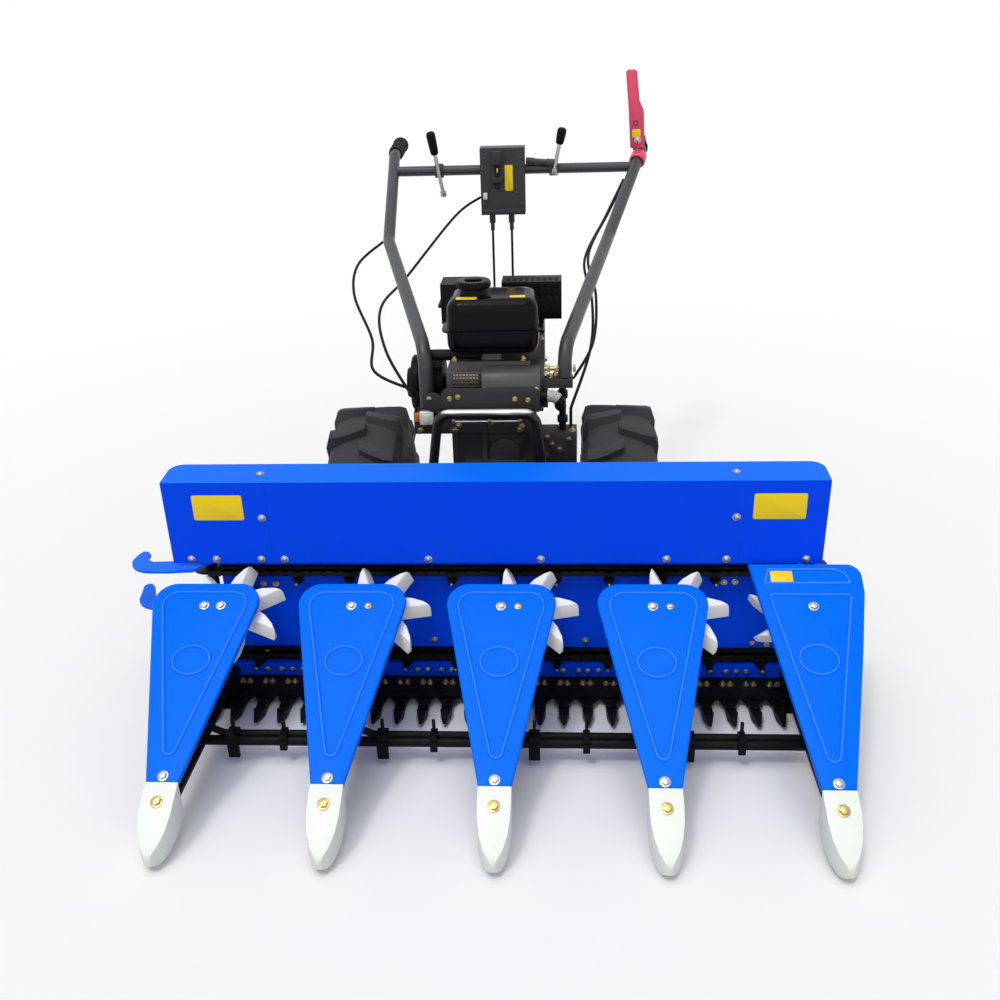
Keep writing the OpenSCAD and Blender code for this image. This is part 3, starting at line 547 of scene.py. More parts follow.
@dataclass
class Shape:
    """A mesh in the making."""

    name: str
    finish: Finish
    body: str = MACHINE
    bm: bmesh.types.BMesh = field(default_factory=bmesh.new)

    def polygon(self, outline: Iterable[Sequence[float]]) -> bmesh.types.BMFace:
        """One flat face.

        Args:
            outline: (x, y) or (x, y, z) points, anticlockwise.

        Returns:
            The face.
        """
        return self.bm.faces.new([self.bm.verts.new((*p, 0.0)[:3]) for p in outline])

    def place(self, verts: Iterable[bmesh.types.BMVert], frame_at: Matrix) -> None:
        """Moves the vertices that are still there by a frame."""
        bmesh.ops.transform(self.bm, matrix=frame_at, verts=[v for v in verts if v.is_valid])

    def soften(self, edges: Sequence[bmesh.types.BMEdge], radius: float, steps: int = 2,
               part: Iterable[bmesh.types.BMVert] = ()) -> set[bmesh.types.BMVert]:
        """Rounds edges of a part.

        Args:
            edges: the edges.
            radius: the rounding's radius.
            steps: its steps.
            part: the part's vertices before it.

        Returns:
            The part's vertices after it.
        """
        new = bmesh.ops.bevel(self.bm, geom=edges, offset=radius, segments=steps, profile=0.5,
                              affect="EDGES", clamp_overlap=True, material=-1)["verts"]
        return {v for v in part if v.is_valid} | set(new)

    def plate(self, outline: Sequence[Sequence[float]], thick: float, at: Matrix, round_by: float = 0.0,
              steps: int = 2) -> None:
        """A plate that stands on the plane of a frame.

        Args:
            outline: (x, y) points, anticlockwise.
            thick: its thickness along the frame's Z.
            at: the frame.
            round_by: the radius of its upper edge.
            steps: the rounding's steps.
        """
        face = self.polygon(outline)
        grown = bmesh.ops.extrude_face_region(self.bm, geom=[face])["geom"]
        top = [g for g in grown if isinstance(g, bmesh.types.BMVert)]
        bmesh.ops.translate(self.bm, vec=(0, 0, thick), verts=top)
        used = set(face.verts) | set(top)
        if round_by:
            rim = [e for e in self.bm.edges if e.verts[0] in top and e.verts[1] in top]
            used = self.soften(rim, round_by, steps, used)
        self.place(used, at)

    def disc(self, radius: float, height: float, at: Matrix, sides: int = 24, top: float | None = None,
             round_by: float = 0.0) -> None:
        """A cylinder, cone or prism that stands on the plane of a frame.

        Args:
            radius: its radius at the foot.
            height: its height.
            at: the frame.
            sides: its sides, 6 for a hexagon.
            top: its radius at the top, or None for the foot's.
            round_by: the radius of its upper edge.
        """
        upper = radius if top is None else top
        made = bmesh.ops.create_cone(self.bm, cap_ends=True, segments=sides, radius1=radius, radius2=upper,
                                     depth=height)["verts"]
        if round_by:
            high = [v for v in made if v.co.z > 0]
            rim = [e for e in self.bm.edges if e.verts[0] in high and e.verts[1] in high]
            made = self.soften(rim, round_by, part=made)
        self.place(made, at @ Matrix.Translation((0, 0, height / 2)))

    def block(self, low: Sequence[float], high: Sequence[float], round_by: float = 0.0,
              at: Matrix | None = None) -> None:
        """A box between two corners.

        Args:
            low: the lowest corner.
            high: the highest corner.
            round_by: the radius of its edges.
            at: a frame that it is moved by.
        """
        size = [h - l for l, h in zip(low, high)]
        middle = [(h + l) / 2 for l, h in zip(low, high)]
        made = bmesh.ops.create_cube(self.bm, size=1.0)["verts"]
        bmesh.ops.scale(self.bm, vec=size, verts=made)
        bmesh.ops.translate(self.bm, vec=middle, verts=made)
        if round_by:
            made = self.soften(list({e for v in made for e in v.link_edges}), round_by, 3, made)
        if at is not None:
            self.place(made, at)

    def lathe(self, profile: Sequence[tuple[float, float]], at: Matrix, steps: int = 32) -> None:
        """A turned shape.

        Args:
            profile: (radius, height) points along the frame's Z.
            at: the frame.
            steps: the spin's steps.
        """
        before = set(self.bm.verts)
        line = [self.bm.verts.new((r, 0, z)) for r, z in profile]
        edges = [self.bm.edges.new(pair) for pair in zip(line, line[1:])]
        bmesh.ops.spin(self.bm, geom=line + edges, cent=(0, 0, 0), axis=(0, 0, 1), dvec=(0, 0, 0),
                       angle=2 * math.pi, steps=steps, use_merge=True)
        made = [v for v in self.bm.verts if v not in before]
        bmesh.ops.remove_doubles(self.bm, verts=made, dist=1e-6)
        self.place([v for v in self.bm.verts if v not in before], at)

    def sweep(self, points: Sequence[Sequence[float]], radius: float, sides: int = 12) -> None:
        """A round bar along points.

        Args:
            points: the centre line.
            radius: the bar's radius.
            sides: its sides.
        """
        line = [Vector(p) for p in points]
        ahead = [(b - a).normalized() for a, b in zip(line, line[1:])]
        ring = bmesh.ops.create_circle(self.bm, cap_ends=False, radius=radius, segments=sides)["verts"]
        turn = Vector((0, 0, 1)).rotation_difference(ahead[0])
        self.place(ring, Matrix.Translation(line[0]) @ turn.to_matrix().to_4x4())
        edges = list({e for v in ring for e in v.link_edges})
        bmesh.ops.holes_fill(self.bm, edges=edges, sides=sides)
        for index in range(1, len(line)):
            grown = bmesh.ops.extrude_edge_only(self.bm, edges=edges)["geom"]
            ring = [g for g in grown if isinstance(g, bmesh.types.BMVert)]
            edges = [g for g in grown if isinstance(g, bmesh.types.BMEdge)
                     and g.verts[0] in ring and g.verts[1] in ring]
            bmesh.ops.translate(self.bm, vec=line[index] - line[index - 1], verts=ring)
            if index < len(ahead):
                old, new = ahead[index - 1], ahead[index]
                half = old.lerp(new, 0.5).normalized()
                for start, end in ((old, half), (half, new)):
                    turn = start.rotation_difference(end).to_matrix()
                    bmesh.ops.rotate(self.bm, cent=line[index], matrix=turn, verts=ring)
        bmesh.ops.holes_fill(self.bm, edges=edges, sides=sides)

    def done(self, sharp: float = 40.0, replaces: Sequence[str] = (),
             turn_out: bool = True) -> bpy.types.Object:
        """Ends the mesh and puts it in the scene.

        Args:
            sharp: the angle in degrees past which an edge stays hard.
            replaces: the CAD nodes that the piece stands for.
            turn_out: whether the faces are turned outwards.

        Returns:
            The finished object.
        """
        if turn_out:
            bmesh.ops.recalc_face_normals(self.bm, faces=self.bm.faces[:])
        mesh = bpy.data.meshes.new(self.name)
        self.bm.to_mesh(mesh)
        self.bm.free()
        mesh.polygons.foreach_set("use_smooth", [True] * len(mesh.polygons))
        mesh.set_sharp_from_angle(angle=math.radians(sharp))
        mesh.materials.append(self.finish.material())
        piece = bpy.data.objects.new(self.name, mesh)
        bpy.context.scene.collection.objects.link(piece)
        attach(piece, self.body)
        if replaces:
            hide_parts(*replaces)
        LOG.info("%s: %d faces on %s", self.name, len(mesh.polygons), self.body)
        return piece


@dataclass
class Softened:
    """A copy of a CAD node with its hard edges rounded."""

    node: str
    finish: Finish
    radius: float
    body: str = MACHINE
    steps: int = 2
    hard: float = 32.0

    def build(self) -> bpy.types.Object:
        """Makes the copy and hides the node.

        Returns:
            The piece.
        """
        shape = Shape(f"{self.node}_soft", self.finish, self.body)
        shape.bm.from_mesh(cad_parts[self.node].data)
        bm = shape.bm
        bmesh.ops.remove_doubles(bm, verts=bm.verts[:], dist=2e-5)
        bmesh.ops.dissolve_limit(bm, angle_limit=math.radians(1.5), verts=bm.verts[:], edges=bm.edges[:])
        limit = math.radians(self.hard)
        edges = [e for e in bm.edges if len(e.link_faces) == 2 and e.calc_face_angle() > limit]
        shape.soften(edges, self.radius, self.steps)
        return shape.done(sharp=50.0, replaces=[self.node])


def label(name: str, size: tuple[float, float, float], corner: float, edge: float, at: Matrix) -> None:
    """Makes a blank yellow plate.

    Args:
        name: the piece's name.
        size: its width, height and thickness.
        corner: the radius of its corners.
        edge: the radius of its upper edge.
        at: its frame.
    """
    shape = Shape(name, PLATE)
    shape.plate(rounded(size[0], size[1], corner), size[2], at, edge)
    shape.done()


def blocks(name: str, finish: Finish, *boxes: tuple[Sequence[float], Sequence[float], float]) -> None:
    """Makes a piece of boxes.

    Args:
        name: the piece's name.
        finish: its finish.
        boxes: the lowest corner, the highest corner and the edges' radius of each box.
    """
    shape = Shape(name, finish)
    for low, high, round_by in boxes:
        shape.block(low, high, round_by)
    shape.done()


def toward(normal: Vector, points: Iterable[Sequence[float]]) -> list[tuple[Vector, Vector]]:
    """Spots for bolts that share a normal."""
    return [(Vector(point), normal) for point in points]


class BoltStyle(Enum):
    """Heads of the bolts."""

    HEX = "hexagon with a washer"
    DOME = "round head with a washer"
    NUT = "nut on a stud"


@dataclass
class Bolts:
    """Bolts of one kind and finish on one body."""

    name: str
    finish: Finish
    style: BoltStyle
    radius: float
    spots: list[tuple[Vector, Vector]]
    body: str = MACHINE

    def build(self) -> bpy.types.Object:
        """Makes all the bolts as one piece.

        Returns:
            The piece.
        """
        shape = Shape(self.name, self.finish, self.body)
        r = self.radius
        for number, (spot, normal) in enumerate(self.spots):
            at = facing(spot, normal) @ Matrix.Rotation(0.7 * number, 4, "Z")
            sink = Matrix.Translation((0, 0, -0.0006))
            shape.disc(r * 1.35, 0.0022, at @ sink, 20, round_by=0.0005)
            top = at @ Matrix.Translation((0, 0, 0.0014))
            if self.style is BoltStyle.DOME:
                shape.lathe([(0.0, r * 0.62), (r * 0.45, r * 0.56), (r * 0.80, r * 0.34), (r * 0.98, r * 0.05),
                             (r, -0.0004)], top, 18)
            else:
                shape.disc(r, r * 0.72, top, 6, round_by=r * 0.12)
                if self.style is BoltStyle.NUT:
                    shape.disc(r * 0.55, r * 1.35, top, 12, round_by=r * 0.1)
        return shape.done(sharp=35.0)


@dataclass
class DividerCover:
    """A pressed blue cover with a folded edge and raised beads."""

    number: int
    thick: float = 0.010
    bead_high: float = 0.0042
    bead_wide: float = 0.0095
    foot: tuple[float, float] = (0.030, 0.041)
    half: float = 0.112
    top: float = 0.466
    corner: float = 0.045

    def outline(self) -> list[tuple[float, float]]:
        """The cover's outline in its own plane, anticlockwise.

        Returns:
            (x, y) points in metres.
        """
        foot_x, foot_y = self.foot
        feet = [(-foot_x, foot_y), (foot_x, foot_y)]
        if self.number == DIVIDERS:
            return [*feet, (0.091, 0.317), (0.117, 0.447), *arc((0.090, 0.486), 0.028, 0, 85, 8),
                    (-0.103, 0.514)]
        lean = math.degrees(math.atan((self.half - foot_x) / (self.top - foot_y)))
        reach, high = self.half - self.corner - 0.003, self.top - self.corner
        return [feet[1], *arc((reach, high), self.corner, -lean, 90, 10),
                *arc((-reach, high), self.corner, 90, 180 + lean, 10), feet[0]]

    def beads(self) -> list[list[tuple[float, float]]]:
        """The outer lines of the raised beads.

        Returns:
            Closed lines of (x, y) points, anticlockwise.
        """
        if self.number == DIVIDERS:
            main = [*arc((0.0, 0.104), 0.017, 195, 345, 6), *arc((0.080, 0.433), 0.012, 0, 90, 4),
                    *arc((-0.062, 0.433), 0.012, 90, 180, 4)]
            arch = [(-0.082, 0.462), (0.096, 0.462), *arc((0.060, 0.470), 0.034, 20, 90, 5), (-0.070, 0.504)]
            return [main, arch, oval(0.004, 0.296, 0.041, 0.036)]
        main = [*arc((0.0, 0.104), 0.016, 192, 348, 6), *arc((0.056, 0.414), 0.034, -8, 90, 6),
                *arc((-0.056, 0.414), 0.034, 90, 188, 6)]
        return [main, oval(0.0, 0.288, 0.041, 0.036)]

    def build(self) -> bpy.types.Object:
        """Makes the cover.

        Returns:
            The piece, which stands for the CAD cover.
        """
        shape = Shape(f"divider_cover_{self.number}_pressing", COVER)
        face = shape.polygon(self.outline())
        face.normal_update()
        grown = bmesh.ops.extrude_face_region(shape.bm, geom=[face])["geom"]
        low = [g for g in grown if isinstance(g, bmesh.types.BMVert)]
        under = [g for g in grown if isinstance(g, bmesh.types.BMFace)]
        bmesh.ops.translate(shape.bm, vec=(0, 0, -self.thick), verts=low)
        bmesh.ops.delete(shape.bm, geom=under, context="FACES")
        rim = [e for e in shape.bm.edges if all(v.co.z > -0.0001 for v in e.verts)]
        shape.soften(rim, 0.004, 4)
        shell = shape.bm.faces[:]
        bmesh.ops.recalc_face_normals(shape.bm, faces=shell)
        if max(shell, key=lambda f: f.calc_area()).normal.z < 0:
            bmesh.ops.reverse_faces(shape.bm, faces=shell)
        bmesh.ops.solidify(shape.bm, geom=shell, thickness=0.0015)
        for line in self.beads():
            self.ridge(shape, line)
        shape.place(shape.bm.verts, cover_frame(self.number - 1))
        return shape.done(sharp=50.0, replaces=[f"divider_cover_{self.number}"], turn_out=False)

    def ridge(self, shape: Shape, line: Sequence[tuple[float, float]]) -> None:
        """A raised bead with soft feet along a closed line.

        Args:
            shape: the cover.
            line: the bead's outer line.
        """
        face = shape.polygon([(x, y, -SUNK) for x, y in line])
        face.normal_update()
        steps = 8
        for step in range(1, steps + 1):
            bmesh.ops.inset_region(shape.bm, faces=[face], thickness=self.bead_wide / steps, depth=0.0,
                                   use_even_offset=True, use_boundary=True)
            height = self.bead_high * 0.5 * (1 - math.cos(2 * math.pi * step / steps)) - SUNK
            for vert in face.verts:
                vert.co.z = height
        bmesh.ops.delete(shape.bm, geom=[face], context="FACES_ONLY")


def arc(centre: tuple[float, float], radius: float, start: float, end: float,
        steps: int) -> list[tuple[float, float]]:
    """Points along an arc.

    Args:
        centre: its centre.
        radius: its radius.
        start: its first angle in degrees.
        end: its last angle.
        steps: its steps.

    Returns:
        The points.
    """
    turn = [math.radians(start + (end - start) * k / steps) for k in range(steps + 1)]
    return [(centre[0] + radius * math.cos(a), centre[1] + radius * math.sin(a)) for a in turn]


def oval(x: float, y: float, wide: float, high: float) -> list[tuple[float, float]]:
    """Points round an oval with half sizes wide and high."""
    turn = [2 * math.pi * k / 40 for k in range(40)]
    return [(x + wide * math.cos(a), y + high * math.sin(a)) for a in turn]


def rounded(wide: float, high: float, radius: float, steps: int = 4) -> list[tuple[float, float]]:
    """A rectangle about the origin with rounded corners.

    Args:
        wide: its width.
        high: its height.
        radius: the corners' radius.
        steps: each corner's steps.

    Returns:
        The points, anticlockwise.
    """
    x, y = wide / 2 - radius, high / 2 - radius
    corners = ((x, y, 0), (-x, y, 90), (-x, -y, 180), (x, -y, 270))
    return [p for cx, cy, a in corners for p in arc((cx, cy), radius, a, a + 90, steps)]


@dataclass
class Header:
    """What is fastened to the header."""

    shield_bolts: tuple[tuple[float, float], ...] = (
        (-0.624, 0.335), (-0.571, 0.335), (-0.476, 0.335), (-0.427, 0.335), (-0.126, 0.335), (0.106, 0.335),
        (0.362, 0.335), (0.483, 0.335), (0.643, 0.335), (-0.463, 0.430), (0.497, 0.430))
    label_size: tuple[float, float] = (0.104, 0.056)
    lug_pitch: float = 0.11
    guard_pitch: float = 0.05

    def build(self) -> None:
        """Makes the covers, moulded parts, bolts and plates."""
        for number in range(1, DIVIDERS + 1):
            DividerCover(number).build()
            Softened(f"star_wheel_{number}", STAR, 0.0022, f"star_{number}", 3).build()
        Softened("divider_tips", TIP, 0.0035, steps=3).build()
        self.bolts()
        self.plates()

    def bolts(self) -> None:
        """Makes the header's bolts."""
        slope = Vector((0, -math.sin(COVER_SLOPE), math.cos(COVER_SLOPE)))
        panel = [(-0.494, 0.251), (-0.467, 0.250), (-0.506, 0.079), (-0.479, 0.075), (0.490, 0.255),
                 (0.513, 0.256), (0.560, 0.103), (0.591, 0.099), (-0.130, 0.110), (0.200, 0.110),
                 (-0.200, 0.250), (0.120, 0.250)]
        strip = (-0.506, -0.474, -0.450, -0.426, -0.169, -0.147, -0.116, -0.094, 0.152, 0.186, 0.206, 0.229,
                 0.471, 0.505, 0.527, 0.549, 0.583)
        guards = [HEADER_X + (k - 12.5) * self.guard_pitch for k in range(26)]
        lugs = [HEADER_X + k * self.lug_pitch for k in range(-5, 6)]
        rows = (
            ("shield_bolts", ZINC, BoltStyle.DOME, 0.0062,
             toward(FRONT, [(x, SHIELD_FACE_Y, z) for x, z in self.shield_bolts])
             + toward(UP, [(x, -0.418, 0.5122) for x in (-0.466, 0.497)])),
            ("cover_bolts", ZINC, BoltStyle.HEX, 0.0076,
             toward(slope, [*(on_cover(i, 0.0, 0.052) for i in range(DIVIDERS)),
                            *(on_cover(i, 0.0, 0.412) for i in range(DIVIDERS - 1)),
                            on_cover(DIVIDERS - 1, 0.012, 0.413), on_cover(0, 0.034, 0.412)])),
            ("cover_screws", BRASS, BoltStyle.HEX, 0.0052,
             toward(slope, [on_cover(i, 0.034, 0.412) for i in range(1, DIVIDERS - 1)])),
            ("tip_bolts", BRASS, BoltStyle.HEX, 0.0085,
             toward(slope, [on_cover(i, 0.0, 0.004, 0.0005) for i in range(DIVIDERS)])),
            ("panel_bolts", BRASS, BoltStyle.HEX, 0.0052, toward(FRONT, [(x, PANEL_Y, z) for x, z in panel])),
            ("strip_bolts", ZINC, BoltStyle.HEX, 0.0050, toward(FRONT, [(x, STRIP_Y, 0.042) for x in strip])),
            ("guard_bolts", BRASS, BoltStyle.NUT, 0.0055,
             toward(UP, [(x + side, -0.455, BEAM_TOP) for x in guards for side in (-0.008, 0.008)])),
            ("lug_rivets", BRASS, BoltStyle.DOME, 0.0026,
             toward(UP, [(x, y, z) for x in lugs for y, z in ((-0.4455, 0.268), (-0.4535, 0.060))])))
        for row in rows:
            Bolts(*row).build()

    def plates(self) -> None:
        """Makes the blank yellow plates."""
        for side, x in (("left", -0.552), ("right", 0.581)):
            label(f"plate_{side}", (*self.label_size, 0.0008), 0.004, 0.0003,
                  Matrix.Translation((x, SHIELD_FACE_Y + SUNK, 0.453)) @ UPRIGHT)
        label("plate_cover", (0.044, 0.034, 0.0008), 0.003, 0.0003,
              cover_frame(DIVIDERS - 1) @ Matrix.Translation((-0.041, 0.481, -SUNK)))


@dataclass
class Wheel:
    """Hub cover, rim bolts and wall ring of one wheel."""

    side: str
    out: int
    ring: tuple[tuple[float, float], ...] = (
        (0.138, -0.004), (0.140, 0.0015), (0.144, 0.0040), (0.148, 0.0015), (0.150, -0.002))

    def build(self) -> None:
        """Makes the wheel's small parts."""
        body, out = f"wheel_{self.side}", Vector((self.out, 0, 0))
        at = facing((AXLE_X + self.out * TRACK / 2, 0, AXLE_Z), out)
        hub = Shape(f"{self.side}_hub_cover", CAST, body)
        hub.lathe([(0.0165, 0.0395), (0.027, 0.0395), (0.030, 0.042), (0.030, 0.047), (0.026, 0.050),
                   (0.0, 0.051)], at)
        hub.done()
        spots = [at @ Vector((0.085 * math.cos(a), 0.085 * math.sin(a), 0.006))
                 for a in (math.radians(72 * k + 18) for k in range(5))]
        Bolts(f"{self.side}_rim_bolts", ZINC, BoltStyle.NUT, 0.008, toward(out, spots), body).build()
        for number, edge in enumerate((0.0795, -0.0795)):
            wall = Shape(f"{self.side}_wall_ring_{number}", RUBBER, body)
            turn = math.copysign(1.0, edge)
            wall.lathe([(radius, edge + rise * turn) for radius, rise in self.ring], at, 64)
            wall.done()


@dataclass
class Engine:
    """The engine's tank, trim and fastenings."""

    middle: tuple[float, float] = (-0.002, -0.040)
    sections: tuple[tuple[float, float, float, float], ...] = (
        (0.6620, 0.150, 0.096, 0.012), (0.6632, 0.172, 0.118, 0.020), (0.6680, 0.190, 0.134, 0.026),
        (0.6760, 0.201, 0.145, 0.029), (0.6860, 0.206, 0.150, 0.030), (0.7140, 0.206, 0.150, 0.030),
        (0.7155, 0.210, 0.154, 0.032), (0.7162, 0.227, 0.171, 0.038), (0.7185, 0.228, 0.172, 0.038),
        (0.7208, 0.227, 0.171, 0.038), (0.7215, 0.210, 0.154, 0.032), (0.7230, 0.205, 0.149, 0.030),
        (0.7620, 0.203, 0.147, 0.029), (0.7700, 0.200, 0.144, 0.028), (0.7790, 0.190, 0.134, 0.026),
        (0.7850, 0.176, 0.120, 0.022), (0.7875, 0.162, 0.106, 0.016), (0.7880, 0.140, 0.084, 0.010))

    def build(self) -> None:
        """Makes the engine's pieces."""
        self.tank()
        self.cap()
        self.plates()
        self.bolts()
        self.front_rod()
        self.plug()
        self.elbow()

    def tank(self) -> None:
        """The pressed tank, drawn through its level sections."""
        shape = Shape("fuel_tank_pressing", GLOSS)
        rings = []
        for z, wide, deep, radius in self.sections:
            verts = [shape.bm.verts.new((self.middle[0] + x, self.middle[1] + y, z))
                     for x, y in rounded(wide, deep, radius, 8)]
            rings.append([shape.bm.edges.new(pair) for pair in zip(verts, verts[1:] + verts[:1])])
        for low, high in zip(rings, rings[1:]):
            bmesh.ops.bridge_loops(shape.bm, edges=low + high)
        for ring in (rings[0], rings[-1]):
            bmesh.ops.holes_fill(shape.bm, edges=ring, sides=0)
        self.neck(shape)
        shape.done(sharp=28.0, replaces=["fuel_tank"])

    def neck(self, shape: Shape) -> None:
        """Adds the filler neck under the cap to the tank."""
        neck = [(0.0, -0.002), (0.034, -0.002), (0.033, 0.006), (0.031, 0.010), (0.031, 0.016), (0.0, 0.016)]
        shape.lathe(neck, Matrix.Translation((-0.045, -0.040, 0.787)), 40)

    def cap(self) -> None:
        """The ribbed cap of the tank."""
        shape = Shape("tank_cap", KNOB)
        at = Matrix.Translation((-0.045, -0.040, 0.800))
        shape.lathe([(0.0, 0.0), (0.035, 0.0), (0.0375, 0.002), (0.038, 0.004), (0.038, 0.013), (0.036, 0.0165),
                     (0.032, 0.0175), (0.022, 0.0170), (0.020, 0.0150), (0.0, 0.0150)], at, 56)
        for k in range(28):
            turn = Matrix.Rotation(2 * math.pi * k / 28, 4, "Z")
            shape.block((0.0368, -0.0016, 0.003), (0.0388, 0.0016, 0.0135), 0.0006, at @ turn)
        shape.block((-0.019, -0.0045, 0.0145), (0.019, 0.0045, 0.0200), 0.0018, at)
        shape.done()

    def plates(self) -> None:
        """Blank plates on the tank, and the mesh plate behind the grille."""
        for side, x, y, size in (("left", -0.058, -0.090, (0.046, 0.020, 0.0010)),
                                 ("right", 0.054, -0.078, (0.034, 0.018, 0.0010))):
            label(f"tank_plate_{side}", size, 0.003, 0.0003, Matrix.Translation((x, y, 0.7873)))
        blocks("grille_filter", BRASS, ((-0.094, -0.1006, 0.592), (-0.038, -0.0998, 0.617), 0.0002))

    def bolts(self) -> None:
        """Makes the bolts of the engine, its plate and the gearbox."""
        rows = (
            ("plate_bolts", BRASS, BoltStyle.HEX, 0.0046, FRONT,
             ((-0.101, -0.140, 0.573), (-0.082, -0.140, 0.577), (0.046, -0.140, 0.571), (0.076, -0.140, 0.568),
              (-0.147, -0.140, 0.573))),
            ("gearbox_bolts", BRASS, BoltStyle.HEX, 0.0058, FRONT,
             ((-0.084, -0.130, 0.504), (0.061, -0.130, 0.501), (-0.090, -0.130, 0.494), (0.056, -0.130, 0.494),
              (-0.010, -0.130, 0.509), (0.117, -0.120, 0.470), (0.129, -0.120, 0.452), (0.146, -0.120, 0.440),
              (0.114, -0.120, 0.428), (0.168, -0.120, 0.464), (-0.172, -0.128, 0.492), (-0.165, -0.128, 0.507),
              (-0.096, -0.128, 0.492), (-0.096, -0.128, 0.527), (-0.172, -0.128, 0.527))),
            ("cowl_bolts", BRASS, BoltStyle.DOME, 0.0045, FRONT,
             [(x, -0.1305, z) for z in (0.590, 0.560) for x in (-0.021, 0.094)]),
            ("top_bolts", BRASS, BoltStyle.NUT, 0.0058, UP,
             ((0.125, -0.092, 0.606), (0.136, -0.080, 0.606), (0.104, 0.020, 0.662), (-0.092, -0.074, 0.642),
              (0.064, -0.074, 0.642), (0.150, -0.075, 0.482), (0.175, -0.108, 0.482), (0.100, -0.108, 0.482))),
            ("case_bolts", ZINC, BoltStyle.HEX, 0.0060, RIGHT,
             [(0.112, -0.080 + 0.060 * k, z) for k in range(3) for z in (0.566, 0.608)]))
        for name, finish, style, radius, normal, points in rows:
            Bolts(name, finish, style, radius, toward(normal, points)).build()
        stud = Shape("bracket_stud", BRASS)
        stud.sweep([(0.112, -0.092, 0.626), (0.168, -0.092, 0.626)], 0.0052, 16)
        for x in (0.118, 0.138, 0.176):
            stud.disc(0.0088, 0.007, facing((x, -0.092, 0.626), RIGHT), 6, round_by=0.0008)
        stud.done()

    def front_rod(self) -> None:
        """The thin rod across the gearbox's front, with its eyes and collar."""
        rod = Shape("selector_rod", ZINC)
        rod.sweep([(-0.098, -0.1365, 0.5165), (0.062, -0.1365, 0.5165)], 0.0028, 16)
        rod.done()
        blocks("selector_rod_eyes", BRASS, *(((x - 0.004, -0.1405, 0.511), (x + 0.004, -0.1295, 0.522), 0.0012)
                                             for x in (-0.094, -0.012, 0.058)))

    def plug(self) -> None:
        """The white connector with its orange seal over the left clamp."""
        blocks("wire_plug", WHITE, ((-0.171, -0.140, 0.510), (-0.139, -0.1275, 0.541), 0.0025),
               ((-0.163, -0.1415, 0.516), (-0.147, -0.139, 0.535), 0.0008))
        blocks("plug_seal", SEAL, ((-0.184, -0.138, 0.516), (-0.1705, -0.1275, 0.537), 0.0030))

    def elbow(self) -> None:
        """The pierced wrap round the outlet's bend."""
        shape = Shape("elbow_wrap", WRAP)
        turn = [(0.126 + 0.022 * math.sin(a), -0.126, 0.550 + 0.022 * math.cos(a))
                for a in (math.radians(9 * k) for k in range(6))]
        shape.sweep([(0.119, -0.126, 0.572), *turn], 0.0136, 24)
        shape.done()


def smooth(points: Sequence[Sequence[float]], steps: int = 9) -> list[Vector]:
    """A smooth line through points.

    Args:
        points: (x, y, z) points in millimetres.
        steps: pieces of the line between two of them.

    Returns:
        The line's points in metres.
    """
    line = [Vector(p) / 1000 for p in points]
    last = len(line) - 1
    made = []
    for index in range(last):
        a, b, c, d = line[max(index - 1, 0)], line[index], line[index + 1], line[min(index + 2, last)]
        for step in range(steps):
            t = step / steps
            made.append(b + ((c - a) * t + (2 * a - 5 * b + 4 * c - d) * t ** 2
                             + (3 * b - a - 3 * c + d) * t ** 3) / 2)
    return [*made, line[last]]


@dataclass
class Sheaths:
    """The cables beside the handlebar, along the same lines as the CAD's but without its corners."""

    radius: float = 0.0036

    def build(self) -> None:
        """Makes both pairs of cables."""
        self.pair("left", (
            ([(-81.4, 770, 874), (-150, 690, 835), (-262, 430, 722), (-300, 200, 694), (-262, 10, 640),
              (-181, -118, 560)], (-181, -118, 536.3)),
            ([(-337, 520, 797), (-385, 390, 764), (-374, 250, 716), (-306, 80, 650), (-284, -40, 606),
              (-181, -84, 572)], (-181, -84, 536.3))))
        self.pair("right", (
            ([(342, 764, 921), (290, 690, 840), (226, 480, 760), (240, 280, 700), (228, 100, 630),
              (180, -6, 575)], (112.3, -6, 575)),
            ([(334, 772, 916), (280, 690, 826), (216, 480, 748), (230, 280, 688), (222, 100, 616),
              (172, -90, 530)], (172, -90, 482.3))))

    def pair(self, side: str, lines: Iterable[tuple[Sequence[Sequence[float]], Sequence[float]]]) -> None:
        """Makes the cables of one side.

        Args:
            side: left or right.
            lines: each cable's points and its end, in millimetres.
        """
        shape = Shape(f"{side}_cable_sheaths", CABLE)
        for points, end in lines:
            shape.sweep([*smooth(points), Vector(end) / 1000], self.radius, 12)
        shape.done(sharp=60.0, replaces=[f"{side}_cables"])


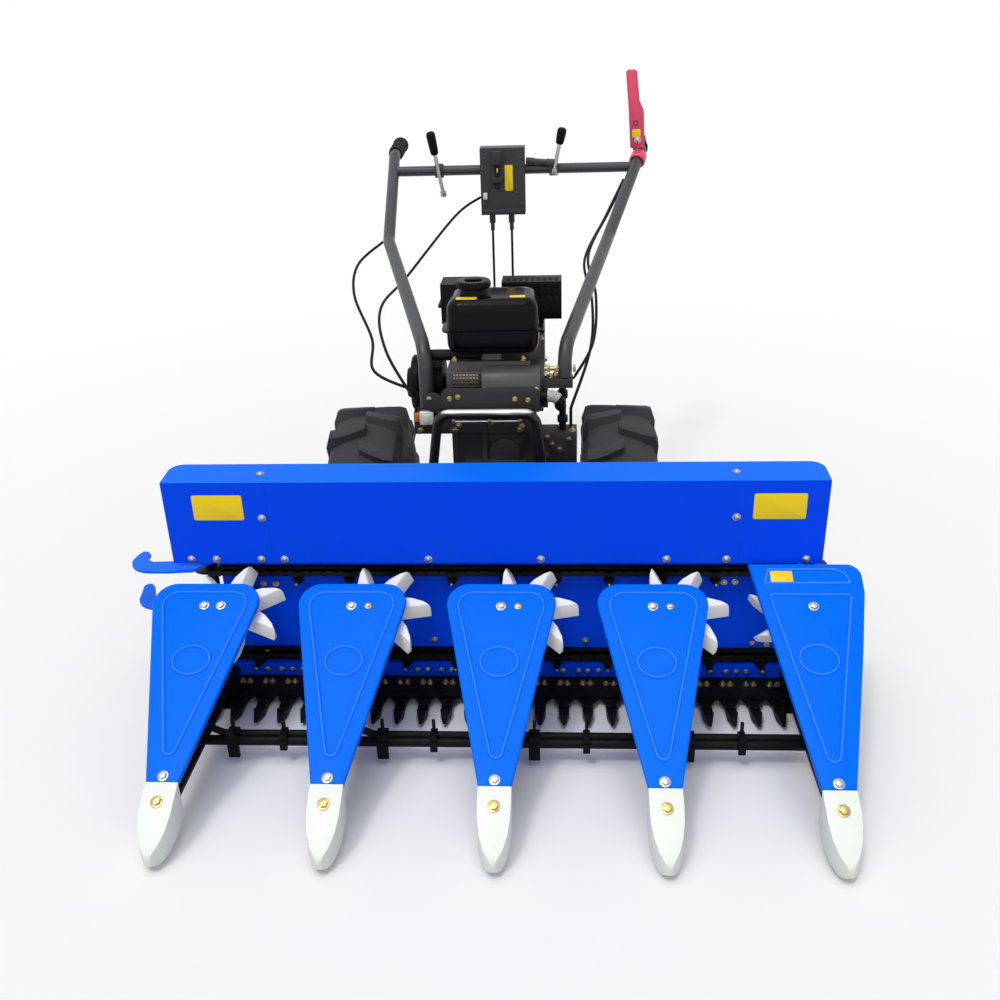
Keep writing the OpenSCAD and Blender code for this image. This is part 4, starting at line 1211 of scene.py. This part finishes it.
@dataclass
class Handlebar:
    """Grip ends, lever trim and the control box's trim."""

    box_front: float = 0.746
    lever_front: float = 0.822

    def build(self) -> None:
        """Makes the handlebar's pieces."""
        self.grips()
        self.levers()
        self.panel()
        self.red_lever()
        self.glands()

    def grips(self) -> None:
        """Ribbed ends and clamp rings of the grips."""
        for side, x in (("left", -0.339), ("right", 0.389)):
            ahead = Vector((0, 0.134, 0.015)).normalized()
            end = Vector((x, 0.994, 1.0)) + ahead * 0.006
            shape = Shape(f"{side}_grip_end", SOFT_RUBBER)
            shape.lathe([(0.0, 0.004), (0.012, 0.004), (0.021, 0.003), (0.0235, 0.001), (0.024, -0.002),
                         (0.0215, -0.006), (0.0205, -0.006)], facing(end, ahead), 32)
            for k in range(11):
                spot = end - ahead * (0.014 + 0.009 * k)
                shape.lathe([(0.0205, -0.002), (0.0222, -0.001), (0.0222, 0.001), (0.0205, 0.002)],
                            facing(spot, ahead), 32)
            shape.done()

    def levers(self) -> None:
        """Clamps, bright rods and tapered knobs of the two small levers."""
        clamps = Shape("lever_clamps", PLASTIC)
        ring = [(0.0143, 0.0), (0.0190, 0.0), (0.0200, 0.001), (0.0200, 0.023), (0.0190, 0.024),
                (0.0143, 0.024), (0.0143, 0.0)]
        for x in (-0.212, 0.120):
            clamps.lathe(ring, facing((x, 0.788, 0.9486), RIGHT), 40)
        shaft, end = Vector((0.054, 0.780, 0.9726)), Vector((0.136, 0.770, 0.9666))
        clamps.lathe([(0.0, 0.0), (0.0095, 0.0), (0.0095, 0.022), (0.0080, 0.024), (0.0080, 0.058),
                      (0.0098, 0.060), (0.0098, 0.080), (0.0085, 0.083), (0.0, 0.083)],
                     facing(shaft, end - shaft), 24)
        clamps.done(replaces=["control_levers"])
        for side, long, top, foot in (("left", 0.066, (-0.2187, 0.7578, 1.0605), (-0.188, 0.767, 0.8786)),
                                      ("right", 0.047, (0.1588, 0.767, 1.0625), (0.132, 0.767, 0.9346))):
            top_at, foot_at = Vector(top), Vector(foot)
            down = (foot_at - top_at).normalized()
            rod = Shape(f"{side}_lever_rod", ZINC)
            rod.sweep([top_at + down * (long - 0.017), foot_at - down * 0.001], 0.0056, 16)
            rod.disc(0.0088, 0.016, facing(foot_at - down * 0.016, down), 20, round_by=0.001)
            rod.done()
            knob = Shape(f"{side}_lever_knob", KNOB)
            knob.lathe([(0.0, 0.0), (0.006, 0.0006), (0.0105, 0.0032), (0.0130, 0.0080), (0.0134, 0.016),
                        (0.0120, long - 0.011), (0.0108, long - 0.003), (0.0076, long), (0.0, long)],
                       facing(top_at, down), 28)
            knob.done()

    def panel(self) -> None:
        """The blank plate, screws and plug on the control box."""
        face = self.box_front
        label("box_plate", (0.023, 0.071, 0.0009), 0.002, 0.0002,
              Matrix.Translation((0.004, face + SUNK, 0.930)) @ UPRIGHT)
        spots = [(0.026, 0.965), (0.026, 0.888), (-0.066, 0.985), (0.040, 0.985), (-0.066, 0.858),
                 (0.040, 0.858)]
        Bolts("box_screws", PLASTIC, BoltStyle.DOME, 0.0036,
              toward(FRONT, [(x, face, z) for x, z in spots])).build()
        blocks("box_plug", WHITE, ((-0.071, face - 0.007, 0.872), (-0.059, face + 0.001, 0.890), 0.0015))
        blocks("box_knob_trim", BRASS, ((-0.031, face - 0.004, 0.944), (-0.026, face + 0.002, 0.958), 0.0008))

    def red_lever(self) -> None:
        """The plate, hole and bolt on the red lever."""
        face = self.lever_front
        label("lever_plate", (0.024, 0.022, 0.0008), 0.002, 0.0002,
              Matrix.Translation((0.371, face + SUNK, 1.036)) @ UPRIGHT)
        hole = Shape("lever_hole", PLASTIC)
        hole.lathe([(0.0, -0.0006), (0.0045, -0.0004), (0.0055, 0.0006), (0.0070, 0.0010), (0.0078, 0.0002),
                    (0.0078, -0.0010)], facing((0.368, face, 1.064), FRONT), 24)
        hole.done()
        Bolts("lever_bolt", ZINC, BoltStyle.DOME, 0.0072, toward(FRONT, [(0.375, face, 1.017)])).build()

    def glands(self) -> None:
        """Brass ends of the two cables under the box."""
        shape = Shape("gland_ends", BRASS)
        for x in (-0.047, 0.009):
            shape.lathe([(0.0038, 0.0), (0.0052, 0.001), (0.0052, 0.009), (0.0042, 0.010), (0.0042, 0.022),
                         (0.0038, 0.023)], Matrix.Translation((x, 0.760, 0.7965)), 20)
        shape.done()


@dataclass
class Tractor:
    """What is fastened to the tractor."""

    soft_nodes: tuple[tuple[str, Finish, float], ...] = (
        ("gearbox", CAST, 0.004), ("crankcase", COWL, 0.0008), ("muffler", POWDER, 0.0015),
        ("control_box", BOX, 0.003), ("engine_mount", CAST, 0.0015), ("clutch_lever", RED, 0.006))

    def build(self) -> None:
        """Makes the rounded castings, the engine, handlebar and wheels."""
        for node, finish, radius in self.soft_nodes:
            Softened(node, finish, radius).build()
        for side in ("left", "right"):
            Softened(f"{side}_tyre", RUBBER, 0.0035, f"wheel_{side}").build()
        Engine().build()
        Handlebar().build()
        for side, out in (("left", -1), ("right", 1)):
            Wheel(side, out).build()


@dataclass
class Studio:
    """Floor, light and camera."""

    camera_at: tuple[float, float, float] = (0.141, -2.307, 1.334)
    azimuth: float = 3.56
    elevation: float = 25.0
    roll: float = -1.70
    lens: float = 36.8
    sensor: float = 36.0
    fill: float = 0.45

    def camera(self) -> None:
        """Sets the camera at the photograph's view."""
        a, e, r = (math.radians(v) for v in (self.azimuth, self.elevation, self.roll))
        look = Vector((-math.sin(a) * math.cos(e), math.cos(a) * math.cos(e), -math.sin(e)))
        level = Vector((math.cos(a), math.sin(a), 0))
        up = level.cross(look)
        right = level * math.cos(r) + up * math.sin(r)
        top = up * math.cos(r) - level * math.sin(r)
        data = bpy.data.cameras.new("view")
        data.lens = self.lens
        data.sensor_width = self.sensor
        data.clip_end = 200.0
        camera = bpy.data.objects.new("view", data)
        turn = Matrix((right, top, -look)).transposed().to_4x4()
        camera.matrix_world = Matrix.Translation(self.camera_at) @ turn
        bpy.context.scene.collection.objects.link(camera)
        bpy.context.scene.camera = camera

    def sun(self, name: str, strength: float, spread: float, direction: Sequence[float]) -> None:
        """A soft lamp.

        Args:
            name: its name.
            strength: its strength.
            spread: its angle in degrees, wide for soft shadows.
            direction: where its light goes.
        """
        data = bpy.data.lights.new(name, "SUN")
        data.energy = strength
        data.angle = math.radians(spread)
        lamp = bpy.data.objects.new(name, data)
        lamp.matrix_world = Vector(direction).to_track_quat("-Z", "Y").to_matrix().to_4x4()
        bpy.context.scene.collection.objects.link(lamp)

    def floor(self) -> None:
        """A plain pale floor that keeps the shadow near the object and is white far from it."""
        bm = bmesh.new()
        bmesh.ops.create_grid(bm, x_segments=1, y_segments=1, size=60.0)
        mesh = bpy.data.meshes.new("floor")
        bm.to_mesh(mesh)
        bm.free()
        graph = Graph("floor")
        bounce = graph.add("ShaderNodeLightPath", output="Is Diffuse Ray")
        paper = graph.add("ShaderNodeBsdfPrincipled", inputs={
            "Base Color": graph.mix((0.95, 0.95, 0.95), (0.55, 0.55, 0.55), bounce),
            "Roughness": 0.30, "Specular IOR Level": 0.25})
        white = graph.add("ShaderNodeEmission", inputs={"Color": (1, 1, 1, 1), "Strength": 1.0})
        reach = graph.add("ShaderNodeVectorMath", {"operation": "LENGTH"}, {0: graph.place}, "Value")
        far = graph.ramp(reach * 0.25, [(0.38, 0.0), (0.80, 1.0)])
        graph.close(graph.add("ShaderNodeMixShader", None, {0: far * graph.seen(), 1: paper, 2: white}))
        mesh.materials.append(graph.owner)
        piece = bpy.data.objects.new("floor", mesh)
        bpy.context.scene.collection.objects.link(piece)

    def world(self) -> None:
        """Even white light, with a white background."""
        graph = Graph("studio", world=True)
        bpy.context.scene.world = graph.owner
        level = self.fill + (1 - self.fill) * graph.seen()
        graph.close(graph.add("ShaderNodeBackground", inputs={"Color": (1, 1, 1, 1), "Strength": level}))

    def build(self) -> None:
        """Makes the stage and its light."""
        bpy.context.scene.view_settings.view_transform = "Standard"
        self.camera()
        self.floor()
        self.world()
        self.sun("key", 1.1, 50.0, (0.12, 0.22, -1.0))
        self.sun("glint", 0.6, 9.0, (0.30, 0.45, -1.0))
        self.sun("front", 0.30, 60.0, (-0.2, 1.0, -0.35))


def dress_nodes() -> None:
    """Gives each CAD node its finish."""
    for finish, names in NODE_FINISHES.items():
        for name in names:
            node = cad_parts[name]
            node.data.materials.clear()
            node.data.materials.append(finish.material())


def main() -> None:
    """Builds the scene in order."""
    logging.basicConfig(level=logging.INFO, format="%(message)s")
    Studio().build()
    dress_nodes()
    Sheaths().build()
    Header().build()
    Tractor().build()
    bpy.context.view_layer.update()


if __name__ == "__main__":
    main()
